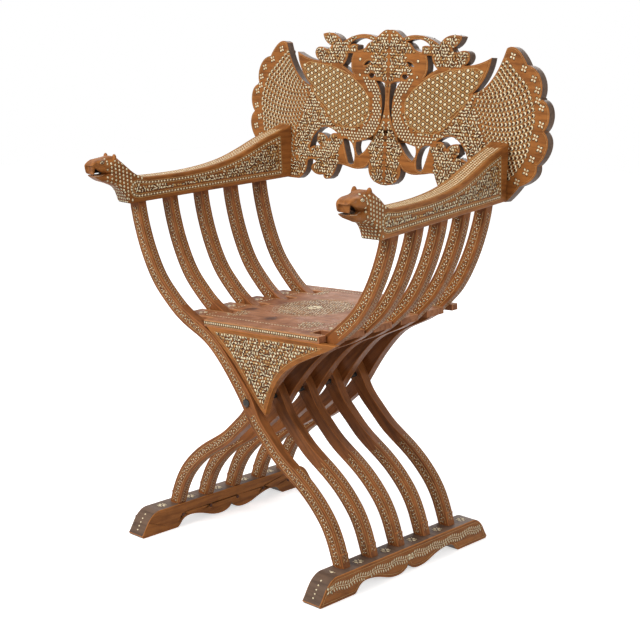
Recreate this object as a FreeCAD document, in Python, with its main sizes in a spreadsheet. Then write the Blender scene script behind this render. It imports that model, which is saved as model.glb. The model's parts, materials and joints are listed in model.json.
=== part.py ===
import FreeCAD, Part
import math
import os
from FreeCAD import Placement, Rotation, Vector

# A folding X-frame armchair: two crossing sets of serpentine staves, each set joined
# to an arm above and a sled foot below, a hinged seat with an apron, and a pierced
# back board that lifts off. The sitter looks along -Y, +Z is up, +X is the sitter's left.

doc = FreeCAD.newDocument("folding_armchair")
sheet = doc.addObject("Spreadsheet::Sheet", "sizes")

# Driving sizes in millimetres, angles in degrees, then counts
SIZES = {
    "stave_thick": 19.0,
    "stave_width": 25.0,
    "stave_pitch": 72.9,
    "pair_gap": 1.6,
    "crossing_height": 296.0,
    "arm_reach": 289.6,
    "arm_height": 641.4,
    "arm_width": 40.0,
    "arm_length": 490.0,
    "arm_depth": 100.0,
    "snout_width": 25.0,
    "head_taper_length": 62.0,
    "foot_reach": 231.5,
    "foot_inset": 5.5,
    "foot_width": 41.0,
    "foot_height": 46.5,
    "foot_length": 469.0,
    "foot_forward": 5.0,
    "tenon_width": 14.0,
    "tenon_depth": 24.0,
    "peg_diameter": 7.0,
    "peg_depth": 11.0,
    "peg_proud": 0.6,
    "pivot_diameter": 9.0,
    "pivot_head_diameter": 15.0,
    "pivot_head_thick": 2.4,
    "washer_diameter": 22.0,
    "washer_thick": 1.5,
    "rod_diameter": 6.0,
    "rod_end_cover": 6.0,
    "seat_thick": 12.0,
    "seat_hinge_reach": 150.0,
    "seat_hinge_height": 429.4,
    "seat_left_tongue": 71.6,
    "seat_right_tongue": 76.6,
    "seat_front_tongue": 53.1,
    "seat_rear_overhang": 20.0,
    "seat_rest_reach": 158.0,
    "notch_gap": 2.0,
    "swing_notch_gap": 4.2,
    "notch_end_gap": 3.0,
    "batten_width": 26.0,
    "batten_thick": 14.0,
    "batten_length": 236.0,
    "batten_start": 44.0,
    "screw_diameter": 4.0,
    "screw_head_diameter": 8.0,
    "screw_head_thick": 1.5,
    "apron_thick": 12.0,
    "apron_drop": 147.0,
    "apron_tip_reach": 185.0,
    "apron_right_reach": 215.0,
    "apron_groove": 4.0,
    "back_thick": 18.0,
    "back_overhang": 80.4,
    "back_tall": 298.0,
    "back_base_height": 653.0,
    "back_setback": 200.0,
    "key_neck_width": 9.0,
    "key_neck_depth": 6.0,
    "key_head_width": 18.0,
    "key_head_depth": 5.0,
    "key_tall": 62.0,
    "key_base": 18.0,
    "face_gap": 0.3,
    "swing_gap": 1.8,
    "running_gap": 0.05,
    "cut_overrun": 15.0,
    "toe_in": 5.65,
    "arm_rise": 3.6,
    "seat_tilt": 2.81,
    "seat_rise": 1.72,
    "back_lean": 2.23,
    "stave_pairs": 5,
}

for row, (alias, value) in enumerate(SIZES.items(), start=1):
    sheet.set("A%d" % row, alias.replace("_", " "))
    sheet.set("B%d" % row, str(value))
    sheet.setAlias("B%d" % row, alias)
doc.recompute()


def size(alias):
    """The sheet's value for one alias."""
    return float(getattr(sheet, alias))


def bind(obj, **expressions):
    """Bind properties of an object to expressions over the sheet's cells."""
    for name, text in expressions.items():
        obj.setExpression(name.replace("__", "."), text)


PAIRS = int(size("stave_pairs"))
TOE = math.radians(size("toe_in"))
RISE = math.radians(size("arm_rise"))
HALF_RUN = (size("stave_pitch") * (PAIRS - 1) + 2 * size("stave_thick") + size("pair_gap")) / 2

# Serpentine centre line of a stave, as shares of its reach and height from the crossing
UPPER_SHARES = [(0.095, 0.106), (0.203, 0.210), (0.348, 0.315), (0.498, 0.375), (0.613, 0.431),
                (0.698, 0.491), (0.780, 0.559), (0.839, 0.628), (0.885, 0.699), (0.926, 0.776),
                (0.961, 0.860), (0.984, 0.929), (1.0, 1.0), (1.006, 1.04)]
LOWER_SHARES = [(0.102, 0.140), (0.217, 0.240), (0.327, 0.331), (0.438, 0.401), (0.553, 0.465),
                (0.673, 0.543), (0.783, 0.635), (0.867, 0.727), (0.925, 0.818), (0.965, 0.906),
                (1.0, 1.0)]
CROSSING_WIDTH_SHARES = {-1: 1.08, 0: 1.2, 1: 1.08}

# Side outline of an arm, y as shares of its length from the middle, z as shares of its
# rear depth above the straight underside
ARM_TOP_SHARES = [(0.402, 0.997), (0.367, 0.950), (0.286, 0.835), (0.204, 0.690), (0.122, 0.565),
                  (0.041, 0.490), (-0.041, 0.450), (-0.122, 0.435), (-0.204, 0.440),
                  (-0.286, 0.455), (-0.318, 0.480), (-0.345, 0.540)]
ARM_NAPE_SHARES = [(-0.345, 0.540), (-0.375, 0.660), (-0.397, 0.776), (-0.412, 0.870)]
ARM_EAR_SHARES = [(-0.412, 0.870), (-0.423, 0.930), (-0.435, 0.958), (-0.450, 0.925)]
ARM_SNOUT_SHARES = [(-0.450, 0.925), (-0.474, 0.880), (-0.504, 0.850), (-0.526, 0.815),
                    (-0.536, 0.760), (-0.528, 0.700)]
ARM_MOUTH_TOP_SHARES = [(-0.528, 0.700), (-0.504, 0.672), (-0.486, 0.625), (-0.468, 0.578)]
ARM_MOUTH_LOW_SHARES = [(-0.468, 0.578), (-0.495, 0.572), (-0.519, 0.586)]
ARM_JAW_SHARES = [(-0.519, 0.586), (-0.504, 0.500), (-0.480, 0.430), (-0.449, 0.365),
                  (-0.420, 0.280), (-0.402, 0.180), (-0.392, 0.085)]
ARM_CHEST_SHARES = [(-0.392, 0.085), (-0.387, 0.030), (-0.370, 0.0)]

# Side outline of a foot, y as shares of half its length, z as shares of its height
FOOT_END_SHARES = [(0.800, 1.0), (0.870, 0.910), (0.925, 0.670), (0.965, 0.350), (1.0, 0.090)]
FOOT_PAD_SHARES = [(0.985, 0.0), (0.622, 0.0)]
FOOT_ARCH_SHARES = [(0.622, 0.0), (0.590, 0.095), (0.560, 0.260), (0.525, 0.355), (0.470, 0.385),
                    (0.400, 0.345), (0.320, 0.240), (0.225, 0.080), (0.135, 0.018),
                    (0.060, 0.070), (0.020, 0.190), (0.0, 0.340)]

# Lower edge of the apron from its right corner to its tip, as shares from the tip
APRON_EDGE_SHARES = [(1.0, 1.0), (0.72, 0.840), (0.44, 0.690), (0.24, 0.520), (0.10, 0.280),
                     (0.0, 0.0)]

# Right half of the back board, x as shares of half its width, z as shares of its height
BACK_EDGE_SHARES = [
    [(0.0, 1.0), (0.038, 0.997), (0.068, 0.973), (0.089, 0.953)],
    [(0.089, 0.953), (0.168, 0.973), (0.257, 0.956), (0.327, 0.916)],
    [(0.327, 0.916), (0.360, 0.960), (0.405, 0.977), (0.465, 0.970)],
    [(0.465, 0.970), (0.449, 0.930), (0.405, 0.896)],
    [(0.405, 0.896), (0.432, 0.872), (0.465, 0.883), (0.503, 0.880), (0.519, 0.846)],
    [(0.519, 0.846), (0.503, 0.809), (0.476, 0.795)],
    [(0.476, 0.795), (0.541, 0.802), (0.600, 0.822), (0.649, 0.849)],
    [(0.649, 0.849), (0.638, 0.789), (0.600, 0.701), (0.541, 0.628)],
    [(0.541, 0.628), (0.616, 0.671), (0.681, 0.762), (0.735, 0.906)],
    [(0.735, 0.906), (0.768, 0.916), (0.816, 0.883), (0.859, 0.812)],
    [(0.859, 0.812), (0.914, 0.782), (0.946, 0.715), (0.941, 0.621)],
    [(0.941, 0.621), (0.981, 0.594), (1.0, 0.527), (0.973, 0.433)],
    [(0.973, 0.433), (1.0, 0.379), (0.989, 0.299), (0.946, 0.232)],
    [(0.946, 0.232), (0.941, 0.178), (0.905, 0.131), (0.854, 0.101)],
    [(0.854, 0.101), (0.820, 0.050), (0.778, 0.0)],
    [(0.778, 0.0), (0.616, 0.0)],
    [(0.616, 0.0), (0.573, 0.040), (0.551, 0.128)],
    [(0.551, 0.128), (0.516, 0.141), (0.486, 0.124)],
    [(0.486, 0.124), (0.519, 0.070), (0.473, 0.040), (0.432, 0.047)],
    [(0.432, 0.047), (0.416, 0.017), (0.378, 0.027), (0.346, 0.077), (0.330, 0.124)],
    [(0.330, 0.124), (0.270, 0.117), (0.195, 0.104), (0.130, 0.124), (0.103, 0.158)],
    [(0.103, 0.158), (0.110, 0.117), (0.092, 0.060), (0.049, 0.027), (0.0, 0.017)],
]
BACK_HOLE_SHARES = [
    [[(0.330, 0.319), (0.373, 0.349), (0.419, 0.362), (0.476, 0.336)],
     [(0.476, 0.336), (0.516, 0.285), (0.538, 0.211)],
     [(0.538, 0.211), (0.497, 0.232), (0.449, 0.228)],
     [(0.449, 0.228), (0.481, 0.265), (0.476, 0.319)],
     [(0.476, 0.319), (0.432, 0.312), (0.400, 0.282)],
     [(0.400, 0.282), (0.378, 0.319), (0.330, 0.319)]],
    [[(0.022, 0.668), (0.049, 0.678), (0.086, 0.681)],
     [(0.086, 0.681), (0.058, 0.640), (0.040, 0.577), (0.034, 0.493), (0.040, 0.426),
      (0.057, 0.372)],
     [(0.057, 0.372), (0.030, 0.440), (0.016, 0.510), (0.014, 0.594), (0.022, 0.668)]],
    [[(0.062, 0.352), (0.103, 0.315), (0.149, 0.295), (0.200, 0.282)],
     [(0.200, 0.282), (0.205, 0.238), (0.184, 0.191)],
     [(0.184, 0.191), (0.149, 0.218), (0.108, 0.275), (0.062, 0.352)]],
    [[(0.232, 0.268), (0.265, 0.292), (0.297, 0.295)],
     [(0.297, 0.295), (0.281, 0.232), (0.259, 0.158)],
     [(0.259, 0.158), (0.243, 0.131), (0.216, 0.138)],
     [(0.216, 0.138), (0.211, 0.198), (0.232, 0.268)]],
    [[(0.114, 0.930), (0.168, 0.946), (0.238, 0.933), (0.278, 0.893)],
     [(0.278, 0.893), (0.259, 0.906), (0.216, 0.903)],
     [(0.216, 0.903), (0.216, 0.869)],
     [(0.216, 0.869), (0.184, 0.876), (0.162, 0.889)],
     [(0.162, 0.889), (0.146, 0.913), (0.114, 0.930)]],
    [[(0.246, 0.849), (0.281, 0.849)],
     [(0.281, 0.849), (0.292, 0.805), (0.319, 0.768)],
     [(0.319, 0.768), (0.276, 0.742), (0.227, 0.701)],
     [(0.227, 0.701), (0.254, 0.748), (0.257, 0.802), (0.246, 0.849)]],
    [[(0.119, 0.805), (0.146, 0.802), (0.170, 0.775)],
     [(0.170, 0.775), (0.141, 0.782), (0.119, 0.805)]],
    [[(0.089, 0.718), (0.114, 0.728), (0.135, 0.715)],
     [(0.135, 0.715), (0.114, 0.695), (0.089, 0.718)]],
]


# Helpers for sketches, bodies and booleans

def curve(points):
    """A straight edge through two points or a smooth one through more."""
    if len(points) == 2:
        return Part.LineSegment(points[0], points[1])
    spline = Part.BSplineCurve()
    spline.interpolate(Points=points)
    return spline


def draw(sketch, stretches):
    """Add one closed outline, given as stretches that meet at their ends."""
    for stretch in stretches:
        sketch.addGeometry(curve([Vector(u, v, 0) for u, v in stretch]), False)


def padded(name, plane, outlines, length, start="0"):
    """A body made by padding a sketch of closed outlines on one origin plane."""
    body = doc.addObject("PartDesign::Body", name)
    sketch = body.newObject("Sketcher::SketchObject", name + "_outline")
    origin_plane = [f for f in body.Origin.OriginFeatures if f.Role == plane][0]
    sketch.AttachmentSupport = (origin_plane, [""])
    sketch.MapMode = "FlatFace"
    sketch.setExpression("AttachmentOffset.Base.z", start)
    for outline in outlines:
        draw(sketch, outline)
    pad = body.newObject("PartDesign::Pad", name + "_pad")
    pad.Profile = sketch
    pad.setExpression("Length", length)
    pad.Reversed = plane == "XZ_Plane"
    sketch.Visibility = False
    return body


def box(name, length, width, height):
    """A box whose three sides are expressions over the sheet."""
    solid = doc.addObject("Part::Box", name)
    bind(solid, Length=length, Width=width, Height=height)
    return solid


def rod(name, radius, height):
    """A cylinder along its own Z, sized by expressions over the sheet."""
    solid = doc.addObject("Part::Cylinder", name)
    bind(solid, Radius=radius, Height=height)
    return solid


def joined(name, pieces):
    """One solid fused from overlapping or touching pieces."""
    solid = doc.addObject("Part::MultiFuse", name)
    solid.Shapes = pieces
    return solid


def grouped(name, pieces):
    """Separate solids kept together as one group."""
    group = doc.addObject("Part::Compound", name)
    group.Links = pieces
    return group


def cut_by(name, base, tools):
    """A piece with every tool taken out of it."""
    solid = doc.addObject("Part::Cut", name)
    solid.Base = base
    solid.Tool = tools[0] if len(tools) == 1 else grouped(name + "_cuts", tools)
    return solid


NODES = []


def keep(solid, label):
    """Name a finished piece, so that it is written to its own file."""
    solid.Label = label
    NODES.append(solid)
    return solid


# Where things lie

def row_front(side, row):
    """Front face of a stave: the left set leads, the right set follows behind it."""
    behind = 0 if side < 0 else size("stave_thick") + size("pair_gap")
    return -HALF_RUN + row * size("stave_pitch") + behind


def centre_line(side, y):
    """Points of a stave's centre line in x and z, from its foot to its arm."""
    reach = size("arm_reach") - math.tan(TOE) * y
    climb = size("arm_height") + math.tan(RISE) * y - size("crossing_height")
    drop = size("crossing_height") - size("foot_height")
    out = size("foot_reach") - size("foot_inset")
    lower = [(out * u, -drop * v) for u, v in reversed(LOWER_SHARES)]
    upper = [(-reach * u, climb * v) for u, v in UPPER_SHARES]
    points = lower + [(0.0, 0.0)] + upper
    return [(-side * u, size("crossing_height") + v) for u, v in points]


def stave_edges(side, y):
    """The two long edges of a stave, offset from its centre line."""
    points = centre_line(side, y)
    line = curve([Vector(u, v, 0) for u, v in points])
    middle = len(LOWER_SHARES)
    edges = ([], [])
    for index, (u, v) in enumerate(points):
        along = line.tangent(line.parameter(Vector(u, v, 0)))[0]
        half = size("stave_width") / 2 * CROSSING_WIDTH_SHARES.get(index - middle, 1.0)
        for edge, sign in zip(edges, (-side, side)):
            edge.append((u + sign * along.y * half, v - sign * along.x * half))
    level = points[0][1]
    for edge, sign in zip(edges, (-1, 1)):
        edge[0] = (points[0][0] + sign * side * size("stave_width") / 2, level)
    return edges


def edge_reach(side, y, level):
    """How far from the middle a stave's inner edge lies at one height above the crossing."""
    points = [p for p in stave_edges(side, y)[0] if p[1] > size("crossing_height")]
    for (u0, v0), (u1, v1) in zip(points, points[1:]):
        if v0 <= level <= v1:
            return abs(u0 + (u1 - u0) * (level - v0) / (v1 - v0))
    raise ValueError("the seat lies off the staves")


def seat_rotation():
    """The seat's tilt sideways, then its rise to the rear."""
    rise = Rotation(Vector(1, 0, 0), size("seat_rise"))
    return rise * Rotation(Vector(0, 1, 0), -size("seat_tilt"))


def place_on_seat(solid, local=None):
    """Give a piece the seat's frame, whose Y is the hinge axis."""
    base = Vector(-size("seat_hinge_reach"), 0, size("seat_hinge_height"))
    frame = Placement(base, seat_rotation())
    solid.Placement = frame.multiply(local) if local else frame


def place_on_back(solid, local=None):
    """Give a piece the back board's frame: X along it, Z up its leaning face."""
    base = Vector(0, size("back_setback"), size("back_base_height"))
    frame = Placement(base, Rotation(Vector(1, 0, 0), -size("back_lean")))
    solid.Placement = frame.multiply(local) if local else frame


def place_on_arm(solid, side, local=None):
    """Give a piece one arm's frame: Y along it, rising and toed in to the rear."""
    base = Vector(side * size("arm_reach"), 0, size("arm_height"))
    turn = Rotation(Vector(0, 0, 1), side * size("toe_in"))
    frame = Placement(base, turn * Rotation(Vector(1, 0, 0), size("arm_rise")))
    solid.Placement = frame.multiply(local) if local else frame


ALONG_Y = Rotation(Vector(1, 0, 0), -90)
ALONG_X = Rotation(Vector(0, 1, 0), 90)


# Rods: the crossing pivot, the seat's hinge and the seat's rest

def rod_in_y(name, radius, start, length):
    """A rod along Y at the crossing."""
    solid = rod(name, radius, length)
    solid.Placement = Placement(Vector(0, start, size("crossing_height")), ALONG_Y)
    return solid


RUN = "(stave_pitch * (stave_pairs - 1) + 2 * stave_thick + pair_gap)"
RUN = RUN.replace("stave", "sizes.stave").replace("pair_gap", "sizes.pair_gap")
shaft_start = -HALF_RUN - size("pivot_head_thick")
shaft = rod_in_y("pivot_shaft", "sizes.pivot_diameter / 2", shaft_start,
                 RUN + " + 2 * sizes.pivot_head_thick + sizes.washer_thick + sizes.face_gap")
pivot_head = rod_in_y("pivot_head", "sizes.pivot_head_diameter / 2", shaft_start,
                      "sizes.pivot_head_thick")
pivot_rod = keep(joined("pivot_rod_solid", [shaft, pivot_head]), "pivot_rod")

washer_start = HALF_RUN + size("face_gap")
washer_disc = rod_in_y("washer_disc", "sizes.washer_diameter / 2", washer_start,
                       "sizes.washer_thick")
pivot_washer = keep(cut_by("pivot_washer_solid", washer_disc, [shaft]), "pivot_washer")
nut_disc = rod_in_y("nut_disc", "sizes.pivot_head_diameter / 2",
                    washer_start + size("washer_thick"), "sizes.pivot_head_thick")
pivot_nut = keep(cut_by("pivot_nut_solid", nut_disc, [shaft]), "pivot_nut")

pivot_bore = rod_in_y("pivot_bore", "sizes.pivot_diameter / 2 + sizes.running_gap",
                      shaft_start, RUN + " + 2 * sizes.cut_overrun")


def seat_rod(name, radius, start, length, across=0.0, below=0.0):
    """A rod along the seat's own Y, at one place across and below its hinge."""
    solid = rod(name, radius, length)
    place_on_seat(solid, Placement(Vector(across, start, -below), ALONG_Y))
    return solid


hinge_start = -HALF_RUN + size("rod_end_cover")
hinge_length = RUN + " - 2 * sizes.rod_end_cover + sizes.seat_rear_overhang"
hinge_rod = keep(seat_rod("hinge_rod", "sizes.rod_diameter / 2", hinge_start, hinge_length),
                 "seat_hinge_rod")
hinge_bore = seat_rod("hinge_bore", "sizes.rod_diameter / 2 + sizes.running_gap",
                      hinge_start - size("cut_overrun"), hinge_length + " + sizes.cut_overrun"
                      " + sizes.face_gap")
rest_across = size("seat_rest_reach") + size("seat_hinge_reach")
rest_below = size("seat_thick") / 2 + size("rod_diameter") / 2 + size("face_gap")
rest_start = row_front(1, 0) + size("rod_end_cover")
rest_length = RUN + " - sizes.stave_thick - sizes.pair_gap - 2 * sizes.rod_end_cover"
rest_rod = keep(seat_rod("rest_rod", "sizes.rod_diameter / 2", rest_start, rest_length,
                         rest_across, rest_below), "seat_rest_rod")


# Arms: a profile with a carved beast's head, narrowed in plan towards the snout

def tenon_box(name, side, y_front, tail):
    """The square tenon at a stave's arm end, or at its foot end where tail is true."""
    points = centre_line(side, y_front + size("stave_thick") / 2)
    x, z = points[0] if tail else points[-2]
    block = box(name, "sizes.tenon_width", "sizes.stave_thick", "sizes.tenon_depth * 2")
    block.Placement.Base = Vector(x - size("tenon_width") / 2, y_front, z - size("tenon_depth"))
    return block


def arm_body(side, name):
    """One arm before its mortises are cut."""
    def scaled(shares):
        return [(u * size("arm_length"), v * size("arm_depth")) for u, v in shares]
    top = scaled(ARM_TOP_SHARES)
    rear = max(size("back_setback"), top[0][0]) + size("cut_overrun")
    chest = scaled(ARM_CHEST_SHARES)
    outline = [
        [chest[-1], (rear, 0.0)],
        [(rear, 0.0), (rear, top[0][1] + size("cut_overrun") * 0.3)],
        [(rear, top[0][1] + size("cut_overrun") * 0.3), top[0]],
        top,
        scaled(ARM_NAPE_SHARES), scaled(ARM_EAR_SHARES), scaled(ARM_SNOUT_SHARES),
        scaled(ARM_MOUTH_TOP_SHARES), scaled(ARM_MOUTH_LOW_SHARES), scaled(ARM_JAW_SHARES),
        chest,
    ]
    side_view = padded(name + "_side", "YZ_Plane", [outline], "sizes.arm_width",
                       "-sizes.arm_width / 2")
    snout_y = ARM_SNOUT_SHARES[-2][0] * size("arm_length")
    taper_y = snout_y + size("head_taper_length")
    half = size("arm_width") / 2
    tip = size("snout_width") / 2
    over = size("cut_overrun")
    plan = [
        [(-half, rear + over), (half, rear + over)],
        [(half, rear + over), (half, taper_y)],
        [(half, taper_y), (tip * 1.2, snout_y + over), (tip, snout_y - over * 0.2)],
        [(tip, snout_y - over * 0.2), (-tip, snout_y - over * 0.2)],
        [(-tip, snout_y - over * 0.2), (-tip * 1.2, snout_y + over), (-half, taper_y)],
        [(-half, taper_y), (-half, rear + over)],
    ]
    plan_view = padded(name + "_plan", "XY_Plane", [plan],
                       "sizes.arm_depth * 1.3 + sizes.cut_overrun", "-sizes.cut_overrun / 3")
    place_on_arm(side_view, side)
    place_on_arm(plan_view, side)
    shaped = doc.addObject("Part::Common", name + "_shaped")
    shaped.Base = side_view
    shaped.Tool = plan_view
    return shaped


def back_trim(name, gap):
    """The space from a gap in front of the back board's face rearward."""
    block = box(name, "2 * (sizes.arm_reach + sizes.back_overhang)", "sizes.back_thick * 4",
                "sizes.back_tall + sizes.arm_depth")
    corner = Vector(-size("arm_reach") - size("back_overhang"), -gap, -size("arm_depth"))
    place_on_back(block, Placement(corner, Rotation()))
    return block


# Staves: padded serpentine outlines with tenons, drilled for the rods

def stave_body(side, row, name):
    """One stave before it meets its arm."""
    y_front = row_front(side, row)
    inner, outer = stave_edges(side, y_front + size("stave_thick") / 2)
    outline = [inner, [inner[-1], outer[-1]], outer[::-1], [outer[0], inner[0]]]
    body = padded(name + "_body", "XZ_Plane", [outline], "sizes.stave_thick")
    body.Placement.Base = Vector(0, y_front, 0)
    return body


SIDES = {-1: "left", 1: "right"}
arms = {}
tenons = {}
for side, word in SIDES.items():
    fronts = [row_front(side, row) for row in range(PAIRS)]
    tenons[side] = [(tenon_box("%s_arm_tenon_%d" % (word, row + 1), side, y, False),
                     tenon_box("%s_foot_tenon_%d" % (word, row + 1), side, y, True))
                    for row, y in enumerate(fronts)]
    mortises = [arm_tenon for arm_tenon, foot_tenon in tenons[side]]
    rear_gap = size("face_gap") if side < 0 else size("swing_gap")
    trims = mortises + [back_trim("%s_arm_trim" % word, rear_gap)]
    arms[side] = keep(cut_by("%s_arm_solid" % word, arm_body(side, "%s_arm" % word), trims),
                      "%s_arm" % word)

for side, word in SIDES.items():
    for row in range(PAIRS):
        name = "%s_stave_%d" % (word, row + 1)
        arm_tenon, foot_tenon = tenons[side][row]
        blank = joined(name + "_blank", [stave_body(side, row, name), arm_tenon, foot_tenon])
        tools = [arms[side]]
        tools += [pivot_rod, hinge_rod] if side < 0 else [pivot_bore, rest_rod]
        keep(cut_by(name + "_solid", blank, tools), name)


# Feet: shaped sleds with mortises and pegs; a foot carries the other side's staves

def foot_body(side, name):
    """One foot before its mortises and peg holes are cut."""
    half = size("foot_length") / 2

    def scaled(shares, sign=1):
        return [(sign * u * half, v * size("foot_height")) for u, v in shares]
    stretches = []
    for sign in (1, -1):
        end = scaled(FOOT_END_SHARES, sign)
        pad = scaled(FOOT_PAD_SHARES, sign)
        arch = scaled(FOOT_ARCH_SHARES, sign)
        stretches += [end, [end[-1], pad[0]], pad, arch]
    top = FOOT_END_SHARES[0][0] * half
    stretches.append([(-top, size("foot_height")), (top, size("foot_height"))])
    body = padded(name + "_body", "YZ_Plane", [stretches], "sizes.foot_width")
    corner_x = side * size("foot_reach") - size("foot_width") / 2
    body.Placement.Base = Vector(corner_x, -size("foot_forward"), 0)
    return body


for side, word in SIDES.items():
    foot_tenons = [foot_tenon for arm_tenon, foot_tenon in tenons[-side]]
    pegs = []
    for row in range(PAIRS):
        y = row_front(-side, row) + size("stave_thick") / 2
        peg = rod("%s_peg_%d" % (word, row + 1), "sizes.peg_diameter / 2",
                  "sizes.peg_depth + sizes.peg_proud")
        inner_face = size("foot_reach") - size("foot_width") / 2
        x = side * inner_face - side * size("peg_proud")
        turn = Rotation(Vector(0, 1, 0), 90 * side)
        peg.Placement = Placement(Vector(x, y, size("foot_height") / 2), turn)
        pegs.append(peg)
    body = foot_body(side, "%s_foot" % word)
    mortised = cut_by("%s_foot_mortised" % word, body, foot_tenons)
    keep(cut_by("%s_foot_solid" % word, mortised, pegs), "%s_foot" % word)
    keep(cut_by("%s_foot_peg_group" % word, grouped("%s_pegs" % word, pegs), foot_tenons),
         "%s_foot_pegs" % word)


# Seat: one board with tongues between the staves, battens, screws and an apron

def board_frame_point(x, y):
    """A point of the room's plan in the seat's own frame, on the board."""
    return (x + size("seat_hinge_reach"), y)


def seat_level(x, y):
    """Height of the board's underside at a point of the plan."""
    tilt = math.tan(math.radians(size("seat_tilt")))
    rise = math.tan(math.radians(size("seat_rise")))
    top = size("seat_hinge_height") + tilt * (x + size("seat_hinge_reach")) + rise * y
    return top - size("seat_thick") / 2


def notch_reach(side, y):
    """How far from the middle the board may come beside one stave."""
    level = seat_level(side * edge_reach(side, y, size("seat_hinge_height")), y)
    return edge_reach(side, y, level) - size("notch_end_gap")


def board_reach(side, tongue):
    """How far from the middle the board goes, past the inner edges of the staves."""
    return edge_reach(side, 0, size("seat_hinge_height")) + size(tongue)


def seat_outline():
    """The board's plan: a corner of points walked round counterclockwise."""
    left = board_reach(-1, "seat_left_tongue")
    right = board_reach(1, "seat_right_tongue")
    front_right = board_reach(1, "seat_front_tongue")
    front = -HALF_RUN
    rear = HALF_RUN + size("seat_rear_overhang")
    gap = size("notch_gap")
    behind = size("swing_notch_gap")
    thick = size("stave_thick")
    points = [(-notch_reach(-1, front), front), (front_right, front)]
    for row in range(PAIRS):
        y = row_front(1, row)
        reach = notch_reach(1, y + thick / 2)
        outer = right if row else front_right
        points += [(outer, y - gap), (reach, y - gap), (reach, y + thick + behind),
                   (right, y + thick + behind)]
    points += [(right, rear), (-left, rear)]
    for row in reversed(range(PAIRS)):
        y = row_front(-1, row)
        reach = notch_reach(-1, y + thick / 2)
        points.append((-left, y + thick + gap))
        points.append((-reach, y + thick + gap))
        if row:
            points += [(-reach, y - gap), (-left, y - gap)]
    points[0] = (points[-1][0], front)
    return [board_frame_point(x, y) for x, y in points]


plan_points = seat_outline()
plan_edges = [[a, b] for a, b in zip(plan_points, plan_points[1:] + plan_points[:1])]
seat_body = padded("seat_body", "XY_Plane", [plan_edges], "sizes.seat_thick",
                   "-sizes.seat_thick / 2")
place_on_seat(seat_body)
keep(cut_by("seat_bored", seat_body, [hinge_bore]), "seat_board")

batten_rows = {"front": (row_front(1, 0), row_front(-1, 1)),
               "rear": (row_front(1, PAIRS - 2), row_front(-1, PAIRS - 1))}
screw_shafts = []
screw_heads = []
battens = {}
for word, (behind, before) in batten_rows.items():
    middle = (behind + size("stave_thick") + before) / 2
    block = box("%s_batten_block" % word, "sizes.batten_length", "sizes.batten_width",
                "sizes.batten_thick")
    corner = Vector(size("batten_start"), middle - size("batten_width") / 2,
                    -size("seat_thick") / 2 - size("batten_thick"))
    place_on_seat(block, Placement(corner, Rotation()))
    battens[word] = block
    for share in (0.1, 0.9):
        across = size("batten_start") + share * size("batten_length")
        low = -size("seat_thick") / 2 - size("batten_thick")
        stem = rod("%s_screw_%d" % (word, int(share * 10)), "sizes.screw_diameter / 2",
                   "sizes.batten_thick + sizes.seat_thick / 2")
        place_on_seat(stem, Placement(Vector(across, middle, low), Rotation()))
        head = rod("%s_screw_head_%d" % (word, int(share * 10)), "sizes.screw_head_diameter / 2",
                   "sizes.screw_head_thick")
        place_on_seat(head, Placement(Vector(across, middle, low - size("screw_head_thick")),
                                      Rotation()))
        screw_shafts.append(stem)
        screw_heads.append(joined("%s_screw_solid_%d" % (word, int(share * 10)), [stem, head]))
for word, block in battens.items():
    keep(cut_by("%s_batten_solid" % word, block, screw_shafts), "%s_seat_batten" % word)
keep(grouped("screw_group", screw_heads), "batten_screws")
seat_drilled = NODES.pop([n.Label for n in NODES].index("seat_board"))
seat_drilled.Label = "seat_blank"
keep(cut_by("seat_board_solid", seat_drilled, screw_shafts), "seat_board")


def apron_outline():
    """The apron in the seat's X and Z: flat top, a left edge beside the first stave."""
    front = row_front(-1, 0) + size("stave_thick") / 2
    low = -size("seat_thick") / 2
    tip = (size("apron_tip_reach"), low - size("apron_drop"))
    right = (size("apron_right_reach") + size("seat_hinge_reach"), low)
    inner, outer = stave_edges(-1, front)
    turn = seat_rotation().inverted()
    hinge = Vector(-size("seat_hinge_reach"), 0, size("seat_hinge_height"))
    left = []
    for u, v in inner:
        local = turn.multVec(Vector(u, front, v) - hinge)
        if tip[1] + size("apron_groove") < local.z < low - size("apron_groove"):
            left.append((local.x + size("apron_groove"), local.z))
    slope = (left[-1][0] - left[-2][0]) / (left[-1][1] - left[-2][1])
    top_left = (left[-1][0] + slope * (low - left[-1][1]), low)
    edge = [(tip[0] + u * (right[0] - tip[0]), tip[1] + v * (right[1] - tip[1]))
            for u, v in APRON_EDGE_SHARES]
    return [[top_left, right], edge, [tip] + left + [top_left]]


apron = padded("apron_body", "XZ_Plane", [apron_outline()], "sizes.apron_thick")
place_on_seat(apron, Placement(Vector(0, -HALF_RUN, 0), Rotation()))
keep(apron, "apron")


# Back board: pierced and leaning, with a slot that slides on the left arm's key

def back_outlines():
    """The whole outline, then every opening, from the right half's shares."""
    width = size("arm_reach") + size("back_overhang")
    tall = size("back_tall")

    def scaled(shares, sign):
        return [(sign * u * width, v * tall) for u, v in shares]
    edge = [scaled(s, 1) for s in BACK_EDGE_SHARES]
    edge += [scaled(s, -1)[::-1] for s in reversed(BACK_EDGE_SHARES)]
    outlines = [edge]
    for hole in BACK_HOLE_SHARES:
        for sign in (1, -1):
            outlines.append([scaled(s, sign) for s in hole])
    return outlines


def key_block(name, width, start, depth, grow, tall):
    """One block of the back key or of its slot, in the back board's frame."""
    block = box(name, "%s + 2 * %s" % (width, grow), "%s + %s" % (depth, grow), tall)
    middle = -size("arm_reach") + math.tan(TOE) * size("back_setback")
    return block, middle, start


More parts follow.
